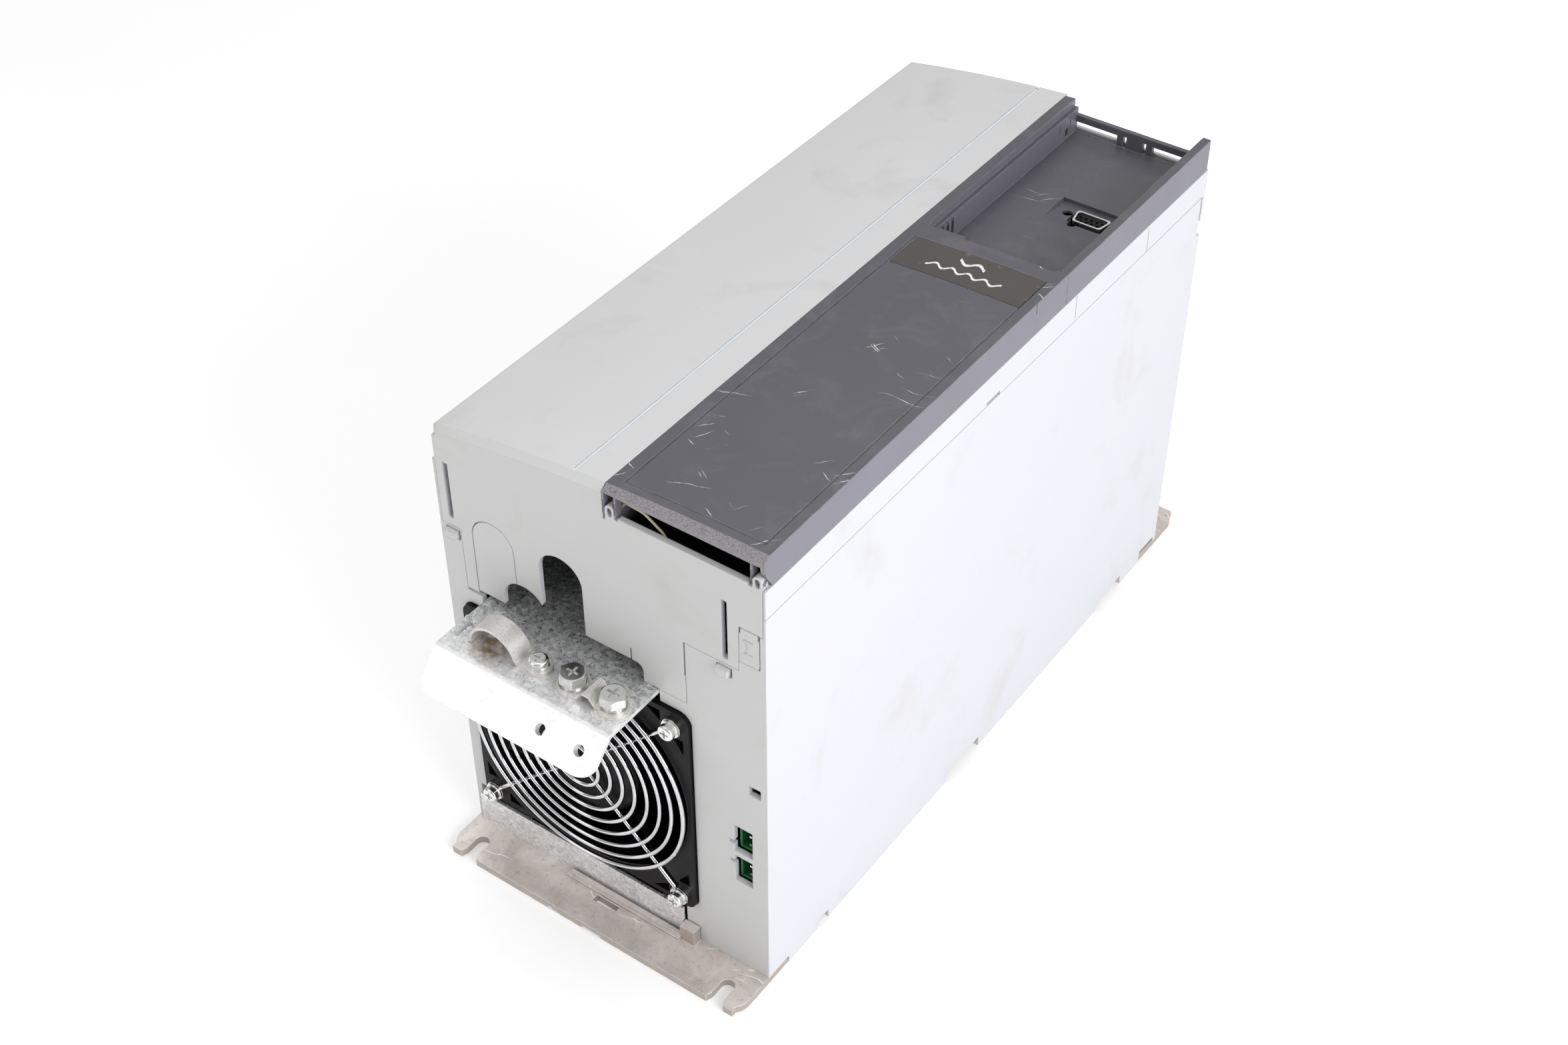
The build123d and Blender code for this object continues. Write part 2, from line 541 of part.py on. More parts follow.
def pan_screw(x, y, seat, radius, head_radius, head_height, bottom):
    """Pan head screw along z with a cross recess."""
    screw = rod_z(x, y, radius, bottom, seat + 0.1) + rod_z(x, y, head_radius, seat, seat + head_height)
    crest = screw.edges().filter_by(GeomType.CIRCLE).sort_by(Axis.Z)[-1]
    screw = fillet(crest, head_height * 0.45)
    top = seat + head_height
    reach = head_radius * 0.55
    screw -= block(x - reach, x + reach, y - 0.45, y + 0.45, top - 1.1, top + 1)
    screw -= block(x - 0.45, x + 0.45, y - reach, y + reach, top - 1.1, top + 1)
    return screw


def saddle_clamp():
    """Strap from a hooked left end over the arch, bent smoothly into a foot under one screw."""
    base = cable_plate_top
    thickness, half_strap = 1.5, 5.0
    left, crest, radius, bend = -50.9, 164.4, 12.0, 2.4
    middle = left + thickness / 2 + radius
    arch_z = crest - thickness / 2 - radius
    foot_z = base + thickness / 2
    rise = foot_z + bend - arch_z
    reach = math.sqrt((radius + bend) ** 2 - rise ** 2)
    share = radius / (radius + bend)
    meeting = (middle + share * reach, arch_z + share * rise)
    turn = (math.atan2(-rise, -reach) % (2 * math.pi) + 1.5 * math.pi) / 2
    bend_middle = (middle + reach + bend * math.cos(turn), foot_z + bend + bend * math.sin(turn))
    line = Curve() + [
        ThreePointArc((middle - radius, arch_z), (middle, arch_z + radius), meeting),
        ThreePointArc(meeting, bend_middle, (middle + reach, foot_z)),
        Line((middle + reach, foot_z), (saddle_screw_x, foot_z))]
    section = trace(line, thickness)
    section += Pos(left + thickness / 2, (arch_z + 146.4) / 2) * Rectangle(thickness, arch_z - 146.4)
    section += Pos(left - 0.6, 147.1) * Rectangle(3.0, 1.4)
    strap = along_y(section, clamp_y - half_strap, clamp_y + half_strap)
    strap += rod_z(saddle_screw_x, clamp_y, 5.6, base, base + thickness)
    return strap - rod_z(saddle_screw_x, clamp_y, 2.2, base - 1, base + 4)


def low_clamp():
    """Strap under the two hex bolts, arched by 4.4 mm between them."""
    base = cable_plate_top
    x0, x1 = bolt_x
    rise = 4.4
    points = [(x0 - 1, base), (x0 + 5.6, base), (x0 + 8.6, base + rise), (x1 - 8.6, base + rise),
              (x1 - 5.6, base), (x1 + 1, base)]
    upper = [(x, z + 1.4) for x, z in reversed(points)]
    upper[1] = (upper[1][0] - 0.7, upper[1][1])
    upper[2] = (upper[2][0] - 0.7, upper[2][1])
    upper[3] = (upper[3][0] + 0.7, upper[3][1])
    upper[4] = (upper[4][0] + 0.7, upper[4][1])
    strap = along_y(polygon(*points, *upper), clamp_y - 5.6, clamp_y + 5.6)
    for x in bolt_x:
        strap += rod_z(x, clamp_y, 7.3, base, base + 1.4)
    for x in bolt_x:
        strap -= rod_z(x, clamp_y, 2.8, base - 1, base + 4)
    return strap


def clamp_washers():
    """Under each hex bolt a flat washer and a spring washer, under the saddle's screw one washer."""
    base = cable_plate_top + 1.4
    washers = []
    for x in bolt_x:
        hole = rod_z(x, clamp_y, 2.7, base - 1, base + 3)
        washers += [rod_z(x, clamp_y, 6.2, base, base + 1.0) - hole,
                    rod_z(x, clamp_y, 5.0, base + 1.0, base + 2.2) - hole]
    base = cable_plate_top + 1.5
    ring = rod_z(saddle_screw_x, clamp_y, 4.6, base, base + 1.1)
    return washers + [ring - rod_z(saddle_screw_x, clamp_y, 2.2, base - 1, base + 2)]


def clamp_bolts():
    """Two hex bolts with a cross recess in the head, chamfered to a round top."""
    seat = cable_plate_top + 3.6
    head_height, corner_radius, top_radius, cross_reach = 4.6, 6.0, 4.9, 3.0
    slope = math.tan(math.radians(60))
    bolts = []
    for x in bolt_x:
        top = seat + head_height
        chamfered = Cone(top_radius + head_height * slope, top_radius, head_height)
        head = extrude(RegularPolygon(corner_radius, 6), amount=head_height)
        head &= Pos(0, 0, head_height / 2) * chamfered
        bolt = Pos(x, clamp_y, seat) * head + rod_z(x, clamp_y, 2.45, 142.5, seat + 0.1)
        bolt -= block(x - cross_reach, x + cross_reach, clamp_y - 0.6, clamp_y + 0.6, top - 1.7, top + 1)
        bolt -= block(x - 0.6, x + 0.6, clamp_y - cross_reach, clamp_y + cross_reach, top - 1.7, top + 1)
        bolts.append(bolt)
    return bolts


def clamp_nuts():
    """Captive nuts under the cable plate."""
    low = cable_plate_top - cable_plate_thickness
    nuts = []
    for x, radius in ((bolt_x[0], 2.5), (bolt_x[1], 2.5), (saddle_screw_x, 2.0)):
        nut = Pos(x, clamp_y, low - 3.2) * extrude(RegularPolygon(radius * 2.1, 6), amount=3.2)
        nuts.append(nut - rod_z(x, clamp_y, radius, low - 5, low + 1))
    return nuts


# ---- fan --------------------------------------------------------------------------------------------

fan_corners = [(fan_x + sx * fan_hole_pitch / 2, fan_z + sz * fan_hole_pitch / 2)
               for sx in (-1, 1) for sz in (-1, 1)]


def fan_frame():
    half = fan_size / 2
    y1 = fan_face + fan_depth
    frame = along_y(rounded(fan_x - half, fan_x + half, fan_z - half, fan_z + half, 5), fan_face, y1)
    frame -= rod_y(fan_x, fan_z, fan_bore, fan_face - 1, y1 + 1)
    # waisted between its two flanges, so that the corners carry ears
    flange = 5.0
    for sx in (-1, 1):
        for sz in (-1, 1):
            cx, cz = fan_x + sx * (half - 1), fan_z + sz * (half - 1)
            frame -= block(min(cx - sx * 12, cx + sx * 9), max(cx - sx * 12, cx + sx * 9), fan_face + flange,
                           y1 - flange, min(cz - sz * 12, cz + sz * 9), max(cz - sz * 12, cz + sz * 9))
    # triangular pockets either side of each corner hole, on the face
    for x, z in fan_corners:
        sx, sz = math.copysign(1, x - fan_x), math.copysign(1, z - fan_z)
        pocket = polygon((x - sx * 7.0, z + sz * 4.4), (x - sx * 15.5, z + sz * 4.4),
                         (x - sx * 7.0, z - sz * 1.6))
        frame -= along_y(pocket, fan_face - 1, fan_face + 2.5)
        pocket = polygon((x + sx * 4.4, z - sz * 7.0), (x + sx * 4.4, z - sz * 15.5),
                         (x - sx * 1.6, z - sz * 7.0))
        frame -= along_y(pocket, fan_face - 1, fan_face + 2.5)
        frame -= rod_y(x, z, 2.15, fan_face - 1, y1 + 1)
    motor_plate = rod_y(fan_x, fan_z, 28, y1 - 3.5, y1)
    for angle in (20, 110, 200, 290):
        arm = Pos(0, (fan_bore + 20) / 2 + 2) * Rectangle(5, fan_bore - 20)
        motor_plate += along_y(Pos(fan_x, fan_z) * (Rot(0, 0, angle) * arm), y1 - 3.5, y1)
    motor_plate &= rod_y(fan_x, fan_z, fan_bore + 0.6, y1 - 9, y1 + 9)
    frame += motor_plate
    frame += rod_y(fan_x, fan_z, 5.0, y1 - 28, y1 - 3)
    return frame - rod_y(fan_x, fan_z, 2.55, y1 - 29, y1 + 1)


def fan_rotor():
    front = fan_face + 1.4
    back = fan_face + fan_depth - 5.5
    rotor = rod_y(fan_x, fan_z, hub_radius, front, back)
    rim = rotor.edges().filter_by(GeomType.CIRCLE).sort_by(Axis.Y)[0]
    rotor = fillet(rim, 2.0)
    rotor -= rod_y(fan_x, fan_z, hub_radius - 2.5, front + 2.5, back + 1)
    rotor += rod_y(fan_x, fan_z, 2.5, front + 2, fan_face + fan_depth - 0.4)
    blades = 7
    for number in range(blades):
        chord = Polyline((-14.0, front + 1.6), (-5.0, front + 9.5), (5.0, front + 19.5), (13.0, back - 2.4))
        offset_chord = Polyline((13.0, back - 0.2), (3.6, front + 20.6), (-6.4, front + 10.8),
                                (-14.0, front + 3.8))
        caps = Line((13.0, back - 2.4), (13.0, back - 0.2)) + Line((-14.0, front + 3.8), (-14.0, front + 1.6))
        section = make_face(chord + offset_chord + caps)
        blade = extrude(section, amount=blade_tip + 4) - block(-30, 30, -400, 400, -1, hub_radius - 2)
        blade &= Rot(90, 0, 0) * Cylinder(blade_tip, 800)
        rotor += Pos(fan_x, 0, fan_z) * (Rot(0, 360 / blades * number, 0) * blade)
    return rotor


ring_radii = (12.0, 18.6, 25.2, 31.8, 38.4, 45.0, 51.2, 57.2)


def fan_guard():
    """Wire guard: rings on a cross of two long wires that end in the screw eyelets."""
    wire = 1.0
    ring_y = fan_face - 2.7
    guard = None
    for angle in (45, 135):
        reach = fan_hole_pitch / 2 * math.sqrt(2) - 3.4
        spoke = Pos(fan_x, fan_face - wire, fan_z) * (Rot(0, angle, 0) * Cylinder(wire, 2 * reach))
        guard = spoke if guard is None else guard + spoke
    for radius in ring_radii:
        guard += Pos(fan_x, ring_y, fan_z) * (Rot(90, 0, 0) * Torus(radius, wire))
    for x, z in fan_corners:
        guard += rod_y(x, z, 4.6, fan_face - 2 * wire, fan_face)
        guard -= rod_y(x, z, 2.6, fan_face - 4, fan_face + 1)
    return guard


def fan_fasteners():
    """Screws, spring washers and flat washers at the fan's corners."""
    seat = fan_face - 2.0
    screws, washers = [], []
    for x, z in fan_corners:
        washers.append(rod_y(x, z, 4.4, seat - 0.8, seat) - rod_y(x, z, 2.2, seat - 3, seat + 3))
        washers.append(rod_y(x, z, 3.5, seat - 1.9, seat - 0.8) - rod_y(x, z, 2.2, seat - 3, seat + 3))
        screw = pan_screw(0, 0, 0, 2.0, 3.8, 2.6, -24)
        screws.append(Pos(x, seat - 1.9, z) * (Rot(90, 0, 0) * screw))
    return screws, washers


# ---- electronics inside -----------------------------------------------------------------------------

inverter_box = (-64.0, 24.0, -84.0, 20.0)
rectifier_box = (-64.0, 0.0, 40.0, 100.0)
module_screw_spots = [(x, y) for x0, x1, y0, y1 in (inverter_box, rectifier_box)
                      for x, y in ((x0 + 5, y0 + 5), (x1 - 5, y1 - 5))]
pillar_spots = [(x, y) for x in (-70.0, 36.0) for y in (-104.0, 26.0, 138.0)]
control_pillars = [(x, y) for x in (12.0, 72.0) for y in (-98.0, 26.0, 138.0)]


def power_module(x0, x1, y0, y1):
    body = block(x0, x1, y0, y1, slab_top, slab_top + 11)
    body += block(x0 + 9, x1 - 9, y0 + 9, y1 - 9, slab_top + 10, power_card_z)
    for x, y in ((x0 + 5, y0 + 5), (x1 - 5, y1 - 5)):
        body -= rod_z(x, y, 2.1, slab_top - 1, slab_top + 12)
    return body


def module_screws():
    return [pan_screw(x, y, slab_top + 11, 1.6, 3.4, 2.4, slab_top - 8) for x, y in module_screw_spots]


def spacer_screws():
    return [pan_screw(x, y, cable_plate_top, 1.6, 3.4, 2.4, slab_top - 8) for x, y in spacer_spots]


def power_card():
    card = block(-76.0, 78.0, -112.0, 160.0, power_card_z, power_card_z + card_thickness)
    for x, y in pillar_spots + control_pillars:
        card -= rod_z(x, y, 1.7, power_card_z - 1, power_card_z + 3)
    return card


def lower_pillars():
    pillars = []
    for x, y in pillar_spots:
        pillar = Pos(x, y, slab_top) * extrude(RegularPolygon(3.6, 6), amount=power_card_z - slab_top)
        pillar += rod_z(x, y, 1.6, slab_top - 8, slab_top + 1)
        pillars.append(pillar + rod_z(x, y, 1.6, power_card_z - 1, power_card_z + 4.5))
    return pillars


def upper_pillars():
    top = power_card_z + card_thickness
    pillars = []
    for x, y in control_pillars:
        pillar = Pos(x, y, top) * extrude(RegularPolygon(3.6, 6), amount=control_card_z - top)
        pillar += rod_z(x, y, 1.6, power_card_z - 3, top + 1)
        pillars.append(pillar - rod_z(x, y, 1.6, control_card_z - 10, control_card_z + 1))
    return pillars


def control_card():
    card = block(8.0, 78.0, -168.0, 160.0, control_card_z, control_card_z + card_thickness)
    for x, y in control_pillars:
        card -= rod_z(x, y, 1.8, control_card_z - 1, control_card_z + 3)
    return card


def card_screws():
    top = control_card_z + card_thickness
    return [pan_screw(x, y, top, 1.5, 3.2, 2.2, top - 9) for x, y in control_pillars]


def capacitors():
    top = power_card_z + card_thickness
    cans = []
    for y in (-62.0, -26.0, 66.0, 102.0):
        for x in (-54.0, -18.0):
            can = rod_z(x, y, 17.0, top, top + 52)
            rims = can.edges().filter_by(GeomType.CIRCLE).sort_by(Axis.Z)[-1]
            bead = rod_z(x, y, 17.2, top + 44, top + 45) - rod_z(x, y, 16.4, top + 43, top + 46)
            cans.append(fillet(rims, 1.5) - bead)
    return cans


choke_spans = ((-92.0, -12.0), (12.0, 92.0))


def choke_core(y0, y1):
    core = block(51.0, 79.0, y0, y1, plate_thickness, 96.0)
    for z0 in (20.0, 59.0):
        core -= block(50, 80, y0 + 16, y1 - 16, z0, z0 + 24)
    return core


def choke_winding(y0, y1):
    coil = block(50.4, 79.6, y0 + 16.6, y1 - 16.6, 20.4, 82.6)
    return coil - block(50, 80, y0 + 10, y1 - 10, 43.6, 59.4)


def terminal_block(x0, poles, pitch, y0, y1, z0, height):
    """Row of screw terminals with wire mouths facing the cable end."""
    body = block(x0, x0 + poles * pitch, y0, y1, z0, z0 + height)
    for pole in range(poles):
        x = x0 + (pole + 0.5) * pitch
        body -= rod_z(x, (y0 + y1) / 2 + 2, pitch * 0.3, z0 + height * 0.55, z0 + height + 1)
        body -= block(x - pitch * 0.32, x + pitch * 0.32, y0 - 1, y0 + (y1 - y0) * 0.35, z0 + height * 0.2,
                      z0 + height * 0.6)
    return body


header_zs = (85.5, 66.8)


def relay_header(z):
    """Three-pole header, open towards the window, with its pins."""
    body = block(66.2, 74.6, -173.2, -161.0, z - 7.5, z + 7.5)
    body -= block(67.2, 73.6, -174.0, -163.4, z - 6.5, z + 6.5)
    pins = []
    for step in (-5.0, 0.0, 5.0):
        pins.append(block(70.4, 71.6, -172.4, -159.0, z + step - 0.6, z + step + 0.6))
        body -= block(70.4, 71.6, -165, -160, z + step - 0.6, z + step + 0.6)
        body -= rod_y(73.6, z + step, 1.5, -174, -166)
    return body, pins


def relay_card():
    return block(74.6, 76.2, -172.0, -104.0, 56.0, 118.0)


def jumper_lead():
    """Thin pale lead that loops in one low arc between two control terminals, behind the end wall."""
    lead_y, socket_end = -170.4, -163.0
    path = FilletPolyline((15.5, socket_end, 219.0), (15.5, lead_y, 219.0), (8.9, lead_y, 231.0),
                          (13.0, lead_y, 237.6), (22.0, lead_y, 236.8), (32.5, lead_y, 230.0),
                          (32.5, lead_y, 219.0), (32.5, socket_end, 219.0),
                          radius=[2.2, 2.6, 3.2, 9.0, 6.0, 2.2])
    section = Plane(origin=path @ 0, z_dir=path % 0) * Circle(0.55)
    return sweep(section, path=path)


def build():
    os.makedirs("parts", exist_ok=True)
    for name, piece in zip(("base_plate", "fan_end_foot", "far_end_foot"), base_parts()):
        write(name, piece)
    write("heat_sink", heat_sink())
    write("fan_bracket", fan_bracket())
    write("bracket_screws", *bracket_screws())
    write("housing", housing())
    write("housing_screws", *housing_screws())
    write("front_cover", front_cover())
    write("knock_out_panel", knock_out_panel())
    write("tab_cover", tab_cover())
    write("latch_button_left", latch_button(-79.0, -73.3))
    write("latch_button_right", latch_button(59.5, 65.2))
    write("terminal_cover", terminal_cover())
    write("label_plate", label_plate())
    write("keypad_cradle", keypad_cradle())
    shell, insert, contacts = keypad_socket()
    write("socket_shell", shell)
    write("socket_insert", insert)
    write("socket_contacts", *contacts)
    write("lamp_pipe", lamp_pipe())
    write("cable_plate", cable_plate())
    write("cable_plate_spacers", *cable_plate_spacers())
    write("spacer_screws", *spacer_screws())
    write("saddle_clamp", saddle_clamp())
    write("low_clamp", low_clamp())
    write("saddle_screw", pan_screw(saddle_screw_x, clamp_y, cable_plate_top + 2.6, 1.95, 4.2, 3.0, 143.5))
    write("clamp_bolts", *clamp_bolts())
    write("clamp_washers", *clamp_washers())
    write("clamp_nuts", *clamp_nuts())
    write("fan_frame", fan_frame())
    write("fan_rotor", fan_rotor())
    write("fan_guard", fan_guard())
    screws, washers = fan_fasteners()
    write("fan_screws", *screws)
    write("fan_washers", *washers)
    write("inverter_module", power_module(*inverter_box))
    write("rectifier_module", power_module(*rectifier_box))
    write("module_screws", *module_screws())
    write("power_card", power_card())
    write("lower_pillars", *lower_pillars())
    write("upper_pillars", *upper_pillars())
    write("control_card", control_card())
    write("card_screws", *card_screws())
    write("capacitors", *capacitors())
    write("choke_cores", *[choke_core(*span) for span in choke_spans])
    write("choke_windings", *[choke_winding(*span) for span in choke_spans])
    card_top = power_card_z + card_thickness
    write("mains_terminals", terminal_block(-66.0, 4, 10.0, -111.0, -88.0, card_top, 26.0))
    write("motor_terminals", terminal_block(-24.0, 3, 10.0, -111.0, -88.0, card_top, 26.0))
    card_top = control_card_z + card_thickness
    write("control_terminals", terminal_block(14.0, 11, 5.0, -167.0, -151.0, card_top, 13.0))
    write("relay_card", relay_card())
    for name, z in zip(("upper", "lower"), header_zs):
        body, pins = relay_header(z)
        write(f"relay_header_{name}", body)
        write(f"relay_pins_{name}", *pins)
    write("jumper_lead", jumper_lead())


build()
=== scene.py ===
import json
import math
import bpy
from mathutils import Matrix, Vector


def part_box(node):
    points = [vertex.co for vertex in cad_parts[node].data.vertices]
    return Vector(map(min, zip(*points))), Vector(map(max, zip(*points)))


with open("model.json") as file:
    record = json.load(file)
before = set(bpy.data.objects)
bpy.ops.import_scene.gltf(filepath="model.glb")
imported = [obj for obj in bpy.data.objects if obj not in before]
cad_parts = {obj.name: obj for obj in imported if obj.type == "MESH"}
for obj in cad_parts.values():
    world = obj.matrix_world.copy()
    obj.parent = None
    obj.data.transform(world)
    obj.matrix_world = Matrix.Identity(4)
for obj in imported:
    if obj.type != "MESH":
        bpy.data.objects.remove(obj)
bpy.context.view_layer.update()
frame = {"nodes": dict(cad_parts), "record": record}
nodes = frame["nodes"]
bpy.ops.object.select_all(action="DESELECT")
print("frame loaded", len(nodes), "nodes")


def fromHex(text):
    channels = [int(text[i:i + 2], 16) / 255 for i in (1, 3, 5)]
    return tuple(c / 12.92 if c <= 0.04045 else ((c + 0.055) / 1.055) ** 2.4 for c in channels) + (1.0,)


def per(millimetres):
    return 1000 / millimetres  # texture scale that repeats at a real size, on metre coordinates


def addNode(tree, kind, settings=None, links=None):
    node = tree.nodes.new(kind)
    for name, value in (settings or {}).items():
        if isinstance(name, int) or name in node.inputs:
            node.inputs[name].default_value = value
        else:
            setattr(node, name, value)
    for name, socket in (links or {}).items():
        tree.links.new(socket, node.inputs[name])
    return node


def ramp(tree, socket, stops):
    node = addNode(tree, "ShaderNodeValToRGB", {}, {"Fac": socket})
    while len(node.color_ramp.elements) < len(stops):
        node.color_ramp.elements.new(0.5)
    for element, (position, colour) in zip(node.color_ramp.elements, stops):
        element.position = position
        element.color = fromHex(colour) if isinstance(colour, str) else (colour, colour, colour, 1)
    return node.outputs["Color"]


def blendColour(tree, factor, first, second, mode="MIX"):
    node = addNode(tree, "ShaderNodeMix", {"data_type": "RGBA", "blend_type": mode}, {0: factor})
    for index, colour in ((6, first), (7, second)):
        if isinstance(colour, str):
            node.inputs[index].default_value = fromHex(colour)
        else:
            tree.links.new(colour, node.inputs[index])
    return node.outputs[2]


def calculate(tree, operation, first, second, clamp=False):
    node = addNode(tree, "ShaderNodeMath", {"operation": operation, "use_clamp": clamp})
    for index, value in ((0, first), (1, second)):
        if isinstance(value, (int, float)):
            node.inputs[index].default_value = value
        else:
            tree.links.new(value, node.inputs[index])
    return node.outputs[0]


def newMaterial(name, settings):
    material = bpy.data.materials.new(name)
    material.use_nodes = True
    tree = material.node_tree
    shader = tree.nodes["Principled BSDF"]
    for key, value in settings.items():
        shader.inputs[key].default_value = value
    place = tree.nodes.new("ShaderNodeTexCoord").outputs["Object"]
    return material, tree, shader, place


def noise(tree, place, size, detail=2.0, roughness=0.5, distortion=0.0):
    return addNode(tree, "ShaderNodeTexNoise", {"Scale": per(size), "Detail": detail, "Roughness": roughness,
                   "Distortion": distortion}, {"Vector": place}).outputs["Fac"]


def facing(tree):
    # the flat normal in the part's own space, so that it turns with a part that swings open
    flat = tree.nodes.new("ShaderNodeNewGeometry").outputs["True Normal"]
    own = addNode(tree, "ShaderNodeVectorTransform", {"vector_type": "NORMAL", "convert_from": "WORLD",
                  "convert_to": "OBJECT"}, {"Vector": flat}).outputs["Vector"]
    return addNode(tree, "ShaderNodeSeparateXYZ", {}, {"Vector": own}).outputs


def dashes(tree, place, turn, length, width, share, spread=3.0):
    # scratches: long thin cells that wander, of which a small share is drawn
    wobble = addNode(tree, "ShaderNodeTexNoise", {"Scale": per(length * 0.9), "Detail": 3.0},
                     {"Vector": place})
    drift = length * 0.00045
    bent = addNode(tree, "ShaderNodeVectorMath", {"operation": "MULTIPLY_ADD", 1: (drift, drift, 0.0)},
                   {0: wobble.outputs["Color"], 2: place}).outputs[0]
    cell = (length * spread / 1000, width * spread / 1000, length * spread / 1000)
    turned = addNode(tree, "ShaderNodeMapping",
                     {"vector_type": "TEXTURE", "Rotation": (0.0, 0.0, turn), "Scale": cell},
                     {"Vector": bent}).outputs["Vector"]
    cells = addNode(tree, "ShaderNodeTexVoronoi", {"Scale": 1.0, "Randomness": 1.0}, {"Vector": turned})
    near = addNode(tree, "ShaderNodeMapRange", {"From Min": 0.5 / spread, "From Max": 0.3 / spread},
                   {"Value": cells.outputs["Distance"]}).outputs[0]
    pick = addNode(tree, "ShaderNodeSeparateColor", {}, {"Color": cells.outputs["Color"]}).outputs[0]
    drawn = calculate(tree, "GREATER_THAN", pick, 1 - share)
    onTop = calculate(tree, "GREATER_THAN", facing(tree)["Z"], 0.7)
    return calculate(tree, "MULTIPLY", calculate(tree, "MULTIPLY", near, drawn), onTop)


def bevelledEdges(tree, radius, patch):
    # bevelled normals differ from the flat ones only along edges, so their angle is a mask of the edges
    # where a material paints this mask paler than its faces, the pale band is a painted edge highlight as well as
    # wear
    soft = addNode(tree, "ShaderNodeBevel", {"samples": 4, "Radius": radius / 1000}).outputs["Normal"]
    flat = tree.nodes.new("ShaderNodeNewGeometry").outputs["Normal"]
    same = addNode(tree, "ShaderNodeVectorMath", {"operation": "DOT_PRODUCT"},
                   {0: soft, 1: flat}).outputs["Value"]
    edge = addNode(tree, "ShaderNodeMapRange", {"From Min": 0.985, "From Max": 0.86},
                   {"Value": same}).outputs[0]
    return soft, calculate(tree, "MULTIPLY", edge, patch)


def bumped(tree, shader, height, strength, depth, normal=None):
    node = addNode(tree, "ShaderNodeBump", {"Strength": strength, "Distance": depth / 1000},
                   {"Height": height})
    if normal:
        tree.links.new(normal, node.inputs["Normal"])
    tree.links.new(node.outputs["Normal"], shader.inputs["Normal"])


# moulded polycarbonate blend, light grey: satin, with a fine spark-eroded grain
def lightGreyPolycarbonate():
    look = {"base": "#d0d0d1", "shade": "#d6d6d7", "endPaintedShade": "#bfc0be", "sidePaintedTint": "#cccdd3",
            "scuff": "#e4e4e3", "stain": "#b7b1a8", "edge": "#dcdddc",
            "line": "#e6edf2", "lineX": -0.00905, "lineHalf": 0.0007}
    material, tree, shader, place = newMaterial("lightGreyPolycarbonate", {"IOR": 1.58, "Roughness": 0.42})
    cloud = noise(tree, place, 70, 3)
    colour = blendColour(tree, cloud, look["base"], look["shade"])
    turned = facing(tree)
    # painted shade: faces turned to the near end are painted darker, and faces turned to +X a cooler grey, for how
    # the light falls on them
    endFace = ramp(tree, calculate(tree, "MULTIPLY", turned["Y"], -1.0), [(0.5, 0.0), (0.9, 0.75)])
    colour = blendColour(tree, endFace, colour, look["endPaintedShade"])
    colour = blendColour(tree, ramp(tree, turned["X"], [(0.5, 0.0), (0.9, 1.0)]), colour, look["sidePaintedTint"])
    dirt = ramp(tree, noise(tree, place, 45, 5, 0.62, 0.4), [(0.56, 0.0), (0.78, 0.42)])
    colour = blendColour(tree, dirt, colour, look["stain"])
    fine = dashes(tree, place, 0.5, 14, 0.22, 0.025)
    across = dashes(tree, place, -0.9, 9, 0.2, 0.02)
    scuffs = calculate(tree, "MULTIPLY", calculate(tree, "MAXIMUM", fine, across), noise(tree, place, 38))
    colour = blendColour(tree, scuffs, colour, look["scuff"])
    # the shallow line along the crown is painted paler and cooler: a painted highlight along it
    fromLine = calculate(tree, "ABSOLUTE", calculate(tree, "SUBTRACT", addNode(
        tree, "ShaderNodeSeparateXYZ", {}, {"Vector": place}).outputs["X"], look["lineX"]), 0.0)
    line = calculate(tree, "MULTIPLY", calculate(tree, "LESS_THAN", fromLine, look["lineHalf"]),
                     calculate(tree, "GREATER_THAN", turned["Z"], 0.8))
    colour = blendColour(tree, line, colour, look["line"])
    # painted edge highlight: edges are painted paler, partly as wear
    soft, edge = bevelledEdges(tree, 0.7, noise(tree, place, 12, 3))
    colour = blendColour(tree, edge, colour, look["edge"])
    tree.links.new(colour, shader.inputs["Base Color"])
    grain = noise(tree, place, 0.8, 2)
    gloss = addNode(tree, "ShaderNodeMapRange", {"To Min": 0.36, "To Max": 0.5},
                    {"Value": noise(tree, place, 22, 4)})
    tree.links.new(gloss.outputs[0], shader.inputs["Roughness"])
    bumped(tree, shader, grain, 0.16, 0.1, soft)
    return material


